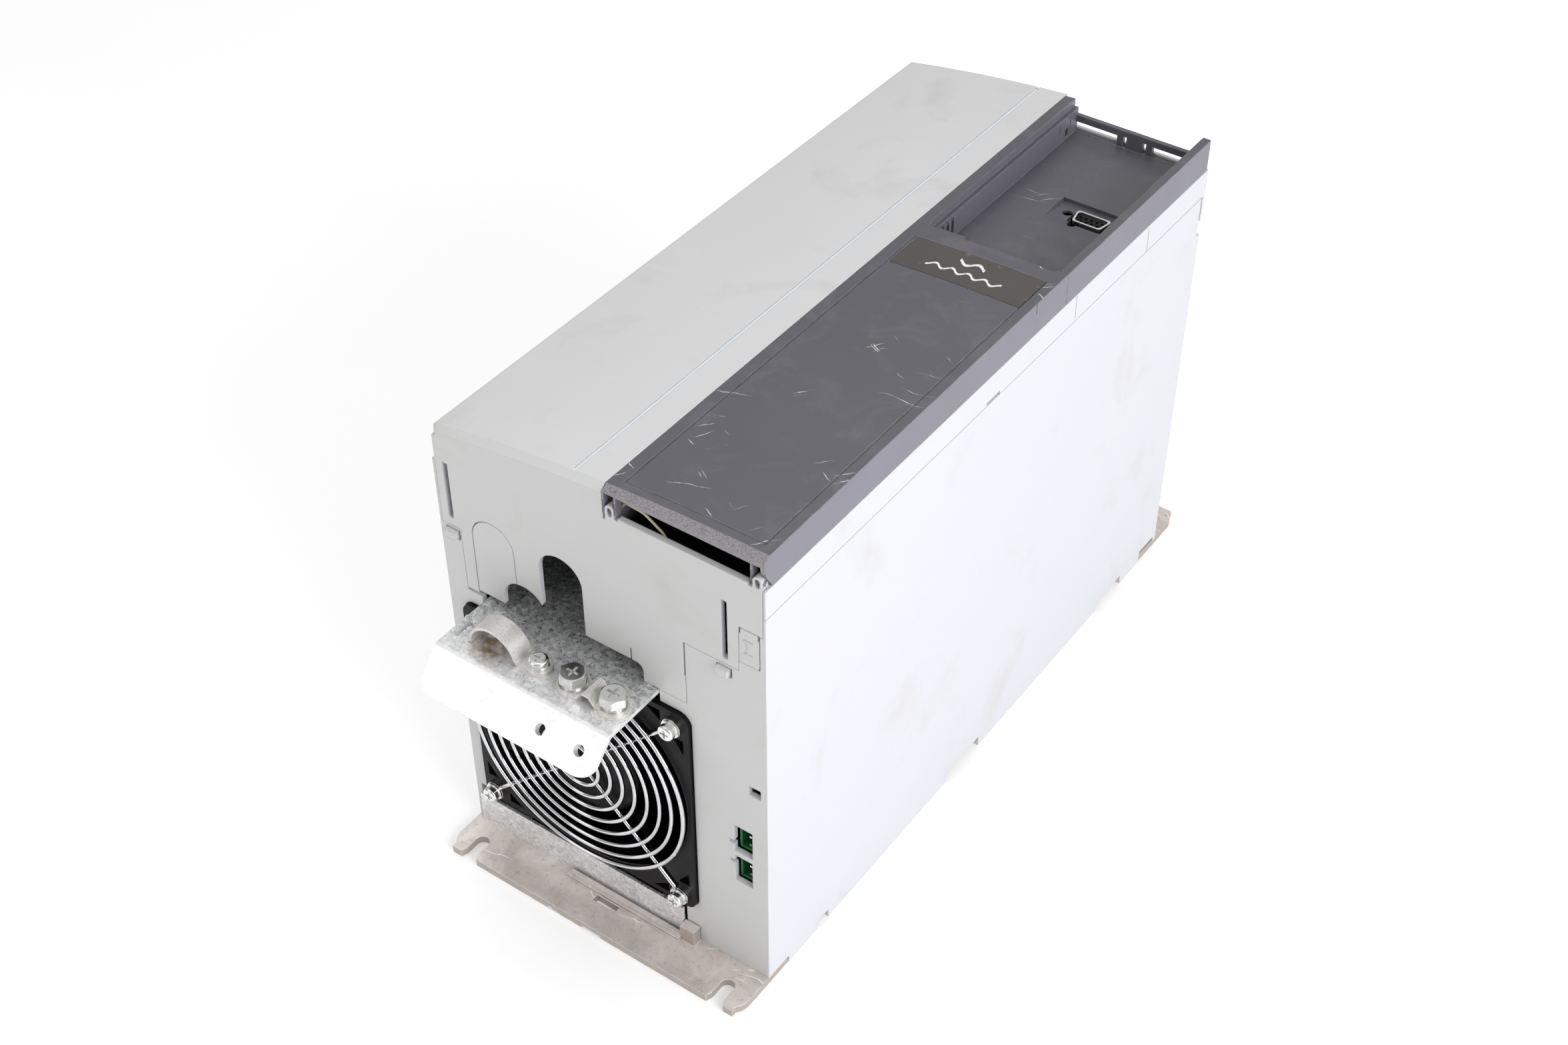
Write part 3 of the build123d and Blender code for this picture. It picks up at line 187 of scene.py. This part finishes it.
# moulded ABS, charcoal grey: darker and a little glossier, it shows every scratch pale
def charcoalAbs():
    look = {"base": "#525158", "shade": "#5b5a61", "dust": "#79777c", "scratch": "#e6e3df",
            "grain": "#a39da1", "side": "#74737e", "edge": "#9b999d", "lipDepth": 0.0085}
    material, tree, shader, place = newMaterial("charcoalAbs", {"IOR": 1.53, "Roughness": 0.4})
    cloud = noise(tree, place, 55, 4, 0.55)
    colour = blendColour(tree, cloud, look["base"], look["shade"])
    dustAndSheen = ramp(tree, noise(tree, place, 24, 5, 0.65, 0.8), [(0.52, 0.0), (0.76, 0.36)])
    colour = blendColour(tree, dustAndSheen, colour, look["dust"])
    marks = dashes(tree, place, 0.9, 13, 0.42, 0.17)
    short = dashes(tree, place, -0.5, 7, 0.46, 0.10)
    long = dashes(tree, place, 0.25, 22, 0.38, 0.17)
    along = addNode(tree, "ShaderNodeSeparateXYZ", {}, {"Vector": place}).outputs["Y"]
    nearEnd = addNode(tree, "ShaderNodeMapRange",
                      {"From Min": 0.02, "From Max": -0.14, "To Min": -0.08, "To Max": 0.07}, {"Value": along})
    patches = calculate(tree, "ADD", noise(tree, place, 30, 2), nearEnd.outputs[0])
    region = ramp(tree, patches, [(0.50, 0.0), (0.55, 1.0)])
    allMarks = calculate(tree, "MAXIMUM", calculate(tree, "MAXIMUM", marks, short), long)
    scratches = calculate(tree, "MULTIPLY", allMarks, region)
    worn = ramp(tree, noise(tree, place, 2.2, 2), [(0.32, 0.25), (0.55, 1.0)])
    rubbed = calculate(tree, "MULTIPLY", scratches, worn)
    colour = blendColour(tree, rubbed, colour, look["scratch"])
    turned = facing(tree)
    level = addNode(tree, "ShaderNodeSeparateXYZ", {}, {"Vector": place}).outputs["Z"]
    lip = calculate(tree, "GREATER_THAN", level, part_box("terminal_cover")[1].z - look["lipDepth"])
    # painted light: the near-end faces of the lip are painted paler, speckled like the grain, for the light they
    # catch
    endFace = ramp(tree, calculate(tree, "MULTIPLY", calculate(tree, "MULTIPLY", turned["Y"], -1.0), lip),
                   [(0.2, 0.0), (0.5, 0.8)])
    speckle = ramp(tree, noise(tree, place, 0.7, 3, 0.7), [(0.40, 0.35), (0.6, 1.0)])
    # painted light: faces turned to +X are painted paler
    sideFace = ramp(tree, turned["X"], [(0.4, 0.0), (0.9, 1.0)])
    colour = blendColour(tree, sideFace, colour, look["side"])
    colour = blendColour(tree, calculate(tree, "MULTIPLY", endFace, speckle), colour, look["grain"])
    # painted edge highlight: edges are painted paler, partly as wear
    soft, edge = bevelledEdges(tree, 0.6, ramp(tree, noise(tree, place, 9, 4, 0.7), [(0.35, 0.15), (0.7, 1.0)]))
    colour = blendColour(tree, edge, colour, look["edge"])
    tree.links.new(colour, shader.inputs["Base Color"])
    gloss = addNode(tree, "ShaderNodeMapRange", {"To Min": 0.32, "To Max": 0.52},
                    {"Value": noise(tree, place, 30, 5)})
    tree.links.new(gloss.outputs[0], shader.inputs["Roughness"])
    height = calculate(tree, "SUBTRACT", noise(tree, place, 0.9, 2), scratches)
    bumped(tree, shader, height, 0.22, 0.1, soft)
    return material


# screen-printed polyester film: dark brownish grey with a white printed wave, rubbed at its edges
def printedFilm():
    look = {"base": "#423d3a", "shade": "#4a4643", "print": "#f1f0ee", "rub": "#837e79"}
    low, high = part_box("label_plate")
    middle = (low + high) / 2
    material, tree, shader, place = newMaterial("printedPolyesterFilm", {"IOR": 1.57, "Roughness": 0.34})
    colour = blendColour(tree, noise(tree, place, 18, 4), look["base"], look["shade"])
    rub = ramp(tree, noise(tree, place, 5, 5, 0.7, 0.6), [(0.62, 0.0), (0.74, 0.7)])
    colour = blendColour(tree, rub, colour, look["rub"])
    spot = addNode(tree, "ShaderNodeMapping",
                   {"vector_type": "POINT", "Location": tuple(-v for v in middle)}, {"Vector": place})
    axis = addNode(tree, "ShaderNodeSeparateXYZ", {}, {"Vector": spot.outputs["Vector"]})
    x, y = axis.outputs["X"], axis.outputs["Y"]
    # two rows of plain alternating-current waves: centre height, amplitude, period, line width, half length
    rows = ((4.2, 1.5, 10.0, 1.7, 6.6), (-3.4, 1.3, 8.0, 1.3, 18.0))
    printed = None
    for up, tall, period, line, half in rows:
        phase = calculate(tree, "MULTIPLY", x, 2 * math.pi * 1000 / period)
        curve = calculate(tree, "MULTIPLY", calculate(tree, "SINE", phase, 0.0), tall / 1000)
        off = calculate(tree, "ABSOLUTE", calculate(tree, "SUBTRACT",
                                                    calculate(tree, "SUBTRACT", y, up / 1000), curve), 0.0)
        drawn = calculate(tree, "LESS_THAN", off, line / 2000)
        inside = calculate(tree, "LESS_THAN", calculate(tree, "ABSOLUTE", x, 0.0), half / 1000)
        row = calculate(tree, "MULTIPLY", drawn, inside)
        printed = row if printed is None else calculate(tree, "MAXIMUM", printed, row)
    worn = ramp(tree, noise(tree, place, 1.2, 3), [(0.30, 0.35), (0.42, 1.0)])
    ink = calculate(tree, "MULTIPLY", printed, worn)
    colour = blendColour(tree, ink, colour, look["print"])
    tree.links.new(colour, shader.inputs["Base Color"])
    bumped(tree, shader, noise(tree, place, 1.4, 3), 0.12, 0.1)
    return material


# hot-dip galvanised sheet: small zinc crystals with dark flecks on the flat; the faces that do not lie flat get a
# nearly white painted sheen
def galvanisedSheet():
    look = {"dark": "#a9aaac", "middle": "#cbcccd", "light": "#fafafa", "fleck": "#5b5c60", "rust": "#8d6b45",
            "dustAndSheen": "#f5f5f5", "paintedSheenMottle": "#e9e9ea", "crystal": 1.8}
    material, tree, shader, place = newMaterial("galvanisedSheet", {"Metallic": 0.6, "Roughness": 0.42})
    jitter = addNode(tree, "ShaderNodeTexNoise", {"Scale": per(1.2), "Detail": 3.0},
                     {"Vector": place}).outputs["Color"]
    moved = addNode(tree, "ShaderNodeVectorMath", {"operation": "MULTIPLY_ADD", 1: (0.0014,) * 3},
                    {0: jitter, 2: place}).outputs[0]
    crystals = addNode(tree, "ShaderNodeTexVoronoi", {"Scale": per(look["crystal"])}, {"Vector": moved})
    tone = addNode(tree, "ShaderNodeSeparateColor", {}, {"Color": crystals.outputs["Color"]})
    mixed = calculate(tree, "ADD", calculate(tree, "MULTIPLY", tone.outputs[0], 0.5),
                      calculate(tree, "MULTIPLY", noise(tree, place, 1.1, 4, 0.7), 0.5))
    flat = ramp(tree, mixed, [(0.15, look["dark"]), (0.5, look["middle"]), (0.85, look["light"])])
    flecks = ramp(tree, noise(tree, moved, 1.5, 4, 0.75), [(0.54, 0.0), (0.61, 0.9)])
    flat = blendColour(tree, flecks, flat, look["fleck"])
    dustAndSheen = blendColour(tree, ramp(tree, noise(tree, place, 9, 5, 0.65), [(0.45, 0.0), (0.75, 1.0)]),
                        look["dustAndSheen"], look["paintedSheenMottle"])
    pale = blendColour(tree, ramp(tree, mixed, [(0.2, 0.09), (0.6, 0.0)]), dustAndSheen, look["middle"])
    turned = facing(tree)
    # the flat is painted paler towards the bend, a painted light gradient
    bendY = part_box("cable_plate")[0].y
    along = addNode(tree, "ShaderNodeSeparateXYZ", {}, {"Vector": place}).outputs["Y"]
    paintedLightTowardBend = addNode(tree, "ShaderNodeMapRange",
                      {"From Min": bendY + 0.048, "From Max": bendY + 0.014, "To Max": 0.75},
                      {"Value": along}).outputs[0]
    ragged = calculate(tree, "MULTIPLY", paintedLightTowardBend,
                       ramp(tree, noise(tree, place, 3, 4, 0.7), [(0.3, 0.45), (0.6, 1.0)]))
    flat = blendColour(tree, ragged, flat, pale)
    # painted sheen: only faces that lie flat show the spangle, faces turned to the near end show half of it, and all
    # others are painted nearly white
    isFlat = ramp(tree, turned["Z"], [(0.9, 0.0), (0.99, 1.0)])
    upright = ramp(tree, calculate(tree, "MULTIPLY", turned["Y"], -1.0), [(0.9, 0.0), (0.99, 0.5)])
    colour = blendColour(tree, calculate(tree, "MAXIMUM", isFlat, upright), pale, flat)
    low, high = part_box("saddle_clamp")
    stainAt = Vector((low.x + 0.012, (low.y + high.y) / 2 - 0.002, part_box("cable_plate")[1].z))
    spot = addNode(tree, "ShaderNodeVectorMath", {"operation": "DISTANCE", 1: tuple(stainAt)},
                   {0: place}).outputs["Value"]
    ring = addNode(tree, "ShaderNodeMapRange", {"From Min": 0.011, "From Max": 0.004, "To Max": 1.0},
                   {"Value": spot}).outputs[0]
    patchy = ramp(tree, noise(tree, place, 4, 4), [(0.36, 0.15), (0.56, 0.85)])
    colour = blendColour(tree, calculate(tree, "MULTIPLY", ring, patchy), colour, look["rust"])
    # painted edge highlight: edges are painted with the nearly white sheen, partly as wear
    soft, edge = bevelledEdges(tree, 0.3, noise(tree, place, 4))
    colour = blendColour(tree, edge, colour, look["dustAndSheen"])
    tree.links.new(colour, shader.inputs["Base Color"])
    rough = addNode(tree, "ShaderNodeMapRange", {"To Min": 0.34, "To Max": 0.52}, {"Value": tone.outputs[1]})
    tree.links.new(rough.outputs[0], shader.inputs["Roughness"])
    height = calculate(tree, "ADD", calculate(tree, "MULTIPLY", tone.outputs[2], 0.4),
                       noise(tree, place, 0.5, 2))
    bumped(tree, shader, height, 0.08, 0.04, soft)
    return material


# zinc-plated steel: bright, slightly bluish, with a faint haze
def zincPlate():
    look = {"base": "#f1f2f1", "haze": "#dddcd8", "dull": "#b3b0aa"}
    material, tree, shader, place = newMaterial("zincPlatedSteel", {"Metallic": 1.0, "Roughness": 0.2})
    colour = blendColour(tree, noise(tree, place, 7, 3, 0.5), look["base"], look["haze"])
    spots = ramp(tree, noise(tree, place, 2.4, 3, 0.6), [(0.64, 0.0), (0.80, 0.45)])
    colour = blendColour(tree, spots, colour, look["dull"])
    tree.links.new(colour, shader.inputs["Base Color"])
    rough = addNode(tree, "ShaderNodeMapRange", {"To Min": 0.14, "To Max": 0.3},
                    {"Value": noise(tree, place, 5, 3)})
    tree.links.new(rough.outputs[0], shader.inputs["Roughness"])
    bumped(tree, shader, noise(tree, place, 1.6, 2), 0.05, 0.04)
    return material


# zinc plate that has been bent after plating: satin, finely speckled, brownish where an edge has worn through
def satinZinc():
    look = {"base": "#d9d7d2", "shade": "#ebeae7", "speck": "#9d9a95", "edge": "#a9896c"}
    material, tree, shader, place = newMaterial("satinZincPlate", {"Metallic": 0.55, "Roughness": 0.36})
    colour = blendColour(tree, noise(tree, place, 5, 4, 0.6), look["base"], look["shade"])
    specks = ramp(tree, noise(tree, place, 1.0, 4, 0.75), [(0.55, 0.0), (0.66, 0.6)])
    colour = blendColour(tree, specks, colour, look["speck"])
    soft, edge = bevelledEdges(tree, 0.3, ramp(tree, noise(tree, place, 2.5, 4, 0.7), [(0.35, 0.2), (0.6, 0.9)]))
    colour = blendColour(tree, edge, colour, look["edge"])
    tree.links.new(colour, shader.inputs["Base Color"])
    rough = addNode(tree, "ShaderNodeMapRange", {"To Min": 0.28, "To Max": 0.46},
                    {"Value": noise(tree, place, 3, 4)})
    tree.links.new(rough.outputs[0], shader.inputs["Roughness"])
    bumped(tree, shader, noise(tree, place, 0.8, 3), 0.08, 0.04, soft)
    return material


# nickel-chrome plated wire: near mirror, with faint drawing lines
def chromeWire():
    look = {"base": "#e6e6e8", "haze": "#bdbec1"}
    material, tree, shader, place = newMaterial("chromePlatedWire", {"Metallic": 1.0, "Roughness": 0.12})
    colour = blendColour(tree, noise(tree, place, 6, 3), look["base"], look["haze"])
    tree.links.new(colour, shader.inputs["Base Color"])
    rough = addNode(tree, "ShaderNodeMapRange", {"To Min": 0.05, "To Max": 0.16},
                    {"Value": noise(tree, place, 3, 4)})
    tree.links.new(rough.outputs[0], shader.inputs["Roughness"])
    bumped(tree, shader, noise(tree, place, 1.5, 3), 0.08, 0.05)
    return material


# glass-filled PBT, black: faint flow marks and dust in the corners
def blackPbt():
    look = {"base": "#070607", "shade": "#0d0c0d", "dust": "#1f1d1d", "edge": "#3a393c"}
    material, tree, shader, place = newMaterial("glassFilledPbt",
                                                {"IOR": 1.55, "Roughness": 0.42, "Specular IOR Level": 0.15})
    colour = blendColour(tree, noise(tree, place, 14, 4), look["base"], look["shade"])
    dust = ramp(tree, noise(tree, place, 7, 5, 0.7), [(0.55, 0.0), (0.8, 0.5)])
    colour = blendColour(tree, dust, colour, look["dust"])
    # painted edge highlight: edges are painted grey on the black, partly as wear
    soft, edge = bevelledEdges(tree, 0.4, noise(tree, place, 6))
    colour = blendColour(tree, edge, colour, look["edge"])
    tree.links.new(colour, shader.inputs["Base Color"])
    rough = addNode(tree, "ShaderNodeMapRange", {"To Min": 0.34, "To Max": 0.58},
                    {"Value": noise(tree, place, 9, 4)})
    tree.links.new(rough.outputs[0], shader.inputs["Roughness"])
    bumped(tree, shader, noise(tree, place, 0.7, 2), 0.15, 0.08, soft)
    return material


# die-cast aluminium, bare: brownish grey skin, fine pitting, bright where it has been dragged along
def dieCastAluminium():
    look = {"base": "#cdc3bc", "shade": "#e9e1db", "pit": "#877b73", "bright": "#fefdfc",
            "paintedSideShadow": "#a59b94"}
    material, tree, shader, place = newMaterial("dieCastAluminium", {"Metallic": 0.5, "Roughness": 0.42})
    cloud = ramp(tree, noise(tree, place, 22, 6, 0.68, 0.6), [(0.36, 0.0), (0.64, 1.0)])
    colour = blendColour(tree, cloud, look["base"], look["shade"])
    pits = ramp(tree, noise(tree, place, 2.2, 5, 0.72), [(0.56, 0.0), (0.72, 0.55)])
    colour = blendColour(tree, pits, colour, look["pit"])
    # painted shadow: faces that do not face up are painted a darker brownish grey
    side = addNode(tree, "ShaderNodeMapRange", {"From Min": 0.6, "From Max": 0.2, "To Max": 0.8},
                   {"Value": facing(tree)["Z"]})
    colour = blendColour(tree, side.outputs[0], colour, look["paintedSideShadow"])
    long = dashes(tree, place, 0.12, 26, 0.6, 0.26)
    other = dashes(tree, place, -0.55, 10, 0.5, 0.14)
    region = ramp(tree, noise(tree, place, 26, 2), [(0.36, 0.0), (0.46, 1.0)])
    scratches = calculate(tree, "MULTIPLY", calculate(tree, "MAXIMUM", long, other), region)
    colour = blendColour(tree, scratches, colour, look["bright"])
    # wide polished patches where the foot has been dragged
    dragged = addNode(tree, "ShaderNodeMapping",
                      {"vector_type": "TEXTURE", "Rotation": (0.0, 0.0, 0.5), "Scale": (4.0, 1.0, 1.0)},
                      {"Vector": place}).outputs["Vector"]
    polished = ramp(tree, noise(tree, dragged, 3.0, 4, 0.7), [(0.60, 0.0), (0.68, 0.7)])
    where = ramp(tree, noise(tree, place, 34, 2), [(0.55, 0.0), (0.66, 1.0)])
    colour = blendColour(tree, calculate(tree, "MULTIPLY", polished, where), colour, look["bright"])
    # painted edge highlight: edges are painted bright, partly as wear
    soft, edge = bevelledEdges(tree, 0.5, ramp(tree, noise(tree, place, 5, 4, 0.7), [(0.35, 0.1), (0.6, 1.0)]))
    colour = blendColour(tree, edge, colour, look["bright"])
    tree.links.new(colour, shader.inputs["Base Color"])
    rough = addNode(tree, "ShaderNodeMapRange", {"To Min": 0.34, "To Max": 0.56},
                    {"Value": noise(tree, place, 8, 4)})
    tree.links.new(rough.outputs[0], shader.inputs["Roughness"])
    height = calculate(tree, "ADD", noise(tree, place, 0.8, 4, 0.6),
                       calculate(tree, "MULTIPLY", scratches, -0.6))
    bumped(tree, shader, height, 0.3, 0.08, soft)
    return material


# extruded aluminium: die lines run along the fins
def extrudedAluminium():
    look = {"base": "#b9b9bb", "line": "#a2a2a5", "bright": "#e4e4e5"}
    material, tree, shader, place = newMaterial("extrudedAluminium", {"Metallic": 1.0, "Roughness": 0.34})
    drawn = addNode(tree, "ShaderNodeMapping", {"Scale": (1.0, 0.01, 1.0)},
                    {"Vector": place}).outputs["Vector"]
    lines = noise(tree, drawn, 0.7, 3)
    colour = blendColour(tree, lines, look["base"], look["line"])
    colour = blendColour(tree, ramp(tree, noise(tree, place, 15, 4), [(0.5, 0.0), (0.8, 0.4)]), colour,
                         look["bright"])
    tree.links.new(colour, shader.inputs["Base Color"])
    bumped(tree, shader, lines, 0.25, 0.05)
    return material


# glass-filled polyamide, signal green: glossy header bodies
def greenPolyamide():
    look = {"base": "#1a5f38", "shade": "#24713f", "edge": "#58a87c"}
    material, tree, shader, place = newMaterial("greenPolyamide", {"IOR": 1.53, "Roughness": 0.3})
    colour = blendColour(tree, noise(tree, place, 6, 3), look["base"], look["shade"])
    # painted edge highlight: edges are painted pale green
    soft, edge = bevelledEdges(tree, 0.2, noise(tree, place, 3))
    colour = blendColour(tree, edge, colour, look["edge"])
    tree.links.new(colour, shader.inputs["Base Color"])
    bumped(tree, shader, noise(tree, place, 0.5, 2), 0.1, 0.05, soft)
    return material


# polycarbonate light pipe: clear, faintly hazy
def clearPolycarbonate():
    material, tree, shader, place = newMaterial("clearPolycarbonate", {"IOR": 1.58, "Roughness": 0.1,
                                                "Transmission Weight": 0.8})
    colour = blendColour(tree, noise(tree, place, 2, 3), "#dfe4e0", "#c4ccc8")
    tree.links.new(colour, shader.inputs["Base Color"])
    bumped(tree, shader, noise(tree, place, 0.7, 2), 0.08, 0.03)
    return material


# FR4 board under green solder resist: copper tracks show as a lighter green
def fr4Board():
    look = {"resist": "#0a1410", "track": "#13241b", "pad": "#4d4738"}
    material, tree, shader, place = newMaterial("fr4SolderResist", {"IOR": 1.5, "Roughness": 0.28})
    bars = addNode(tree, "ShaderNodeTexBrick",
                   {"Scale": per(12), "Mortar Size": 0.06, "Brick Width": 0.9, "Row Height": 0.14},
                   {"Vector": place}).outputs["Fac"]
    colour = blendColour(tree, bars, look["resist"], look["track"])
    holes = addNode(tree, "ShaderNodeTexVoronoi", {"Scale": per(5)}, {"Vector": place}).outputs["Distance"]
    colour = blendColour(tree, ramp(tree, holes, [(0.14, 1.0), (0.17, 0.0)]), colour, look["pad"])
    tree.links.new(colour, shader.inputs["Base Color"])
    bumped(tree, shader, bars, 0.2, 0.05)
    return material


# PVC shrink sleeve over the cans: dark blue-black with slight wrinkles
def shrinkSleeve():
    material, tree, shader, place = newMaterial("pvcShrinkSleeve", {"IOR": 1.53, "Roughness": 0.3})
    colour = blendColour(tree, noise(tree, place, 8, 4), "#20242e", "#2e3340")
    tree.links.new(colour, shader.inputs["Base Color"])
    bumped(tree, shader, noise(tree, place, 3, 4), 0.2, 0.2)
    return material


# varnished electrical steel: 0.5 mm laminations, drawn 1 mm apart so that they show
def laminatedSteel():
    material, tree, shader, place = newMaterial("varnishedLaminations", {"Metallic": 0.7, "Roughness": 0.5})
    sheets = addNode(tree, "ShaderNodeTexWave",
                     {"bands_direction": "Z", "Scale": per(1.0) / 6.28, "Distortion": 0.4},
                     {"Vector": place}).outputs["Fac"]
    colour = blendColour(tree, sheets, "#3a3533", "#6b625c")
    tree.links.new(colour, shader.inputs["Base Color"])
    bumped(tree, shader, sheets, 0.4, 0.1)
    return material


# enamelled copper wire, 1.6 mm, wound turn beside turn; each turn is painted light along its crown and dark where it
# meets the next: painted shading of the round wire
def enamelledCopper():
    material, tree, shader, place = newMaterial("enamelledCopperWire", {"Metallic": 0.9, "Roughness": 0.3})
    turns = addNode(tree, "ShaderNodeTexWave",
                    {"bands_direction": "Y", "wave_profile": "SIN", "Scale": per(1.6) / 6.28},
                    {"Vector": place}).outputs["Fac"]
    colour = blendColour(tree, turns, "#6a2f16", "#c1713f")
    tree.links.new(colour, shader.inputs["Base Color"])
    bumped(tree, shader, turns, 0.8, 0.6)
    return material


# gold-flashed contacts
def goldFlash():
    material, tree, shader, place = newMaterial("goldFlashedBrass", {"Metallic": 1.0, "Roughness": 0.25})
    colour = blendColour(tree, noise(tree, place, 1.5, 3), "#dcb566", "#b98f45")
    tree.links.new(colour, shader.inputs["Base Color"])
    bumped(tree, shader, noise(tree, place, 0.5, 2), 0.1, 0.03)
    return material


# bright tin plate on brass pins
def tinPlate():
    material, tree, shader, place = newMaterial("tinPlatedPins", {"Metallic": 1.0, "Roughness": 0.2})
    colour = blendColour(tree, noise(tree, place, 1.5, 3), "#e4e3df", "#b9b6ae")
    tree.links.new(colour, shader.inputs["Base Color"])
    bumped(tree, shader, noise(tree, place, 0.5, 2), 0.1, 0.03)
    return material


# flexible PVC insulation, cream
def creamPvc():
    material, tree, shader, place = newMaterial("creamPvc", {"IOR": 1.53, "Roughness": 0.38})
    colour = blendColour(tree, noise(tree, place, 3, 3), "#e6dcbf", "#d6caa8")
    tree.links.new(colour, shader.inputs["Base Color"])
    bumped(tree, shader, noise(tree, place, 0.8, 2), 0.1, 0.05)
    return material


materials = {
    "light_grey_plastic": lightGreyPolycarbonate(), "dark_grey_plastic": charcoalAbs(), "label_film": printedFilm(),
    "galvanised_steel": galvanisedSheet(), "zinc_plated_steel": zincPlate(), "chrome_wire": chromeWire(),
    "black_plastic": blackPbt(), "die_cast_aluminium": dieCastAluminium(), "extruded_aluminium": extrudedAluminium(),
    "green_plastic": greenPolyamide(), "clear_plastic": clearPolycarbonate(), "circuit_board": fr4Board(),
    "capacitor_sleeve": shrinkSleeve(), "iron_core": laminatedSteel(), "copper_winding": enamelledCopper(),
    "gold_contacts": goldFlash(), "tinned_pins": tinPlate(), "cream_insulation": creamPvc(),
}
bentZinc = satinZinc()
for part in frame["record"]["subparts"]:
    mesh = nodes[part["node"]].data
    mesh.materials.clear()
    isBent = part["node"] in ("saddle_clamp", "low_clamp")
    mesh.materials.append(bentZinc if isBent else materials[part["material_slot"]])
print("materials given to", len(materials), "slots")


def studio():
    setup = {"floor": 60.0, "floorColour": "#f6f6f6", "cameraAt": (0.42799, -0.64992, 0.78145), "lens": 50.5,
             "lookAlong": (-0.43575, 0.61235,
                           -0.65966), "roll": -0.14, "sweepGlow": 0.16, "worldStrength": 0.72,
             "sensorWidth": 36}
    lamps = {  # place, size, watts
        "keyPanel": ((1.5, -0.4, 0.75), 1.1, 19), "topPanel": ((-0.3, 0.4, 1.9), 1.6, 8.5),
        "endPanel": ((-0.46, -0.88, 0.55), 0.42, 1.3)}
    bpy.ops.mesh.primitive_plane_add(size=setup["floor"], location=(0, 0, 0))
    floor = bpy.context.object
    floor.name = "floor"
    paper, tree, shader, place = newMaterial("paperSweep", {"Roughness": 0.9, "Specular IOR Level": 0.2})
    colour = blendColour(tree, noise(tree, place, 300, 2), setup["floorColour"], "#f9f9f9")
    tree.links.new(colour, shader.inputs["Base Color"])
    shader.inputs["Emission Color"].default_value = fromHex("#ffffff")
    shader.inputs["Emission Strength"].default_value = setup["sweepGlow"]
    floor.data.materials.append(paper)
    target = Vector((0.02, -0.02, 0.12))
    for name, (place, size, watts) in lamps.items():
        bpy.ops.object.light_add(type="AREA", location=place)
        lamp = bpy.context.object
        lamp.name = name
        lamp.data.size = size
        lamp.data.energy = watts
        lamp.rotation_euler = (target - Vector(place)).to_track_quat("-Z", "Y").to_euler()
    world = bpy.data.worlds.new("studioWorld")
    world.use_nodes = True
    # white overhead, greyer towards the horizon, so that bright metal has something to mirror
    sky = world.node_tree
    up = addNode(sky, "ShaderNodeSeparateXYZ", {},
                 {"Vector": sky.nodes.new("ShaderNodeTexCoord").outputs["Generated"]})
    sky.links.new(ramp(sky, up.outputs["Z"], [(0.0, "#6e6e70"), (0.3, "#b8b8ba"), (0.62, "#ffffff")]),
                  sky.nodes["Background"].inputs["Color"])
    world.node_tree.nodes["Background"].inputs["Strength"].default_value = setup["worldStrength"]
    bpy.context.scene.world = world
    bpy.context.scene.view_settings.view_transform = "Standard"
    bpy.ops.object.camera_add(location=setup["cameraAt"])
    camera = bpy.context.object
    camera.data.lens = setup["lens"]
    camera.data.sensor_width = setup["sensorWidth"]
    aim = Vector(setup["lookAlong"]).to_track_quat("-Z", "Y").to_matrix()
    turned = aim @ Matrix.Rotation(math.radians(setup["roll"]), 3, "Z")
    camera.rotation_euler = turned.to_euler()
    bpy.context.scene.camera = camera


studio()
print("studio ready")
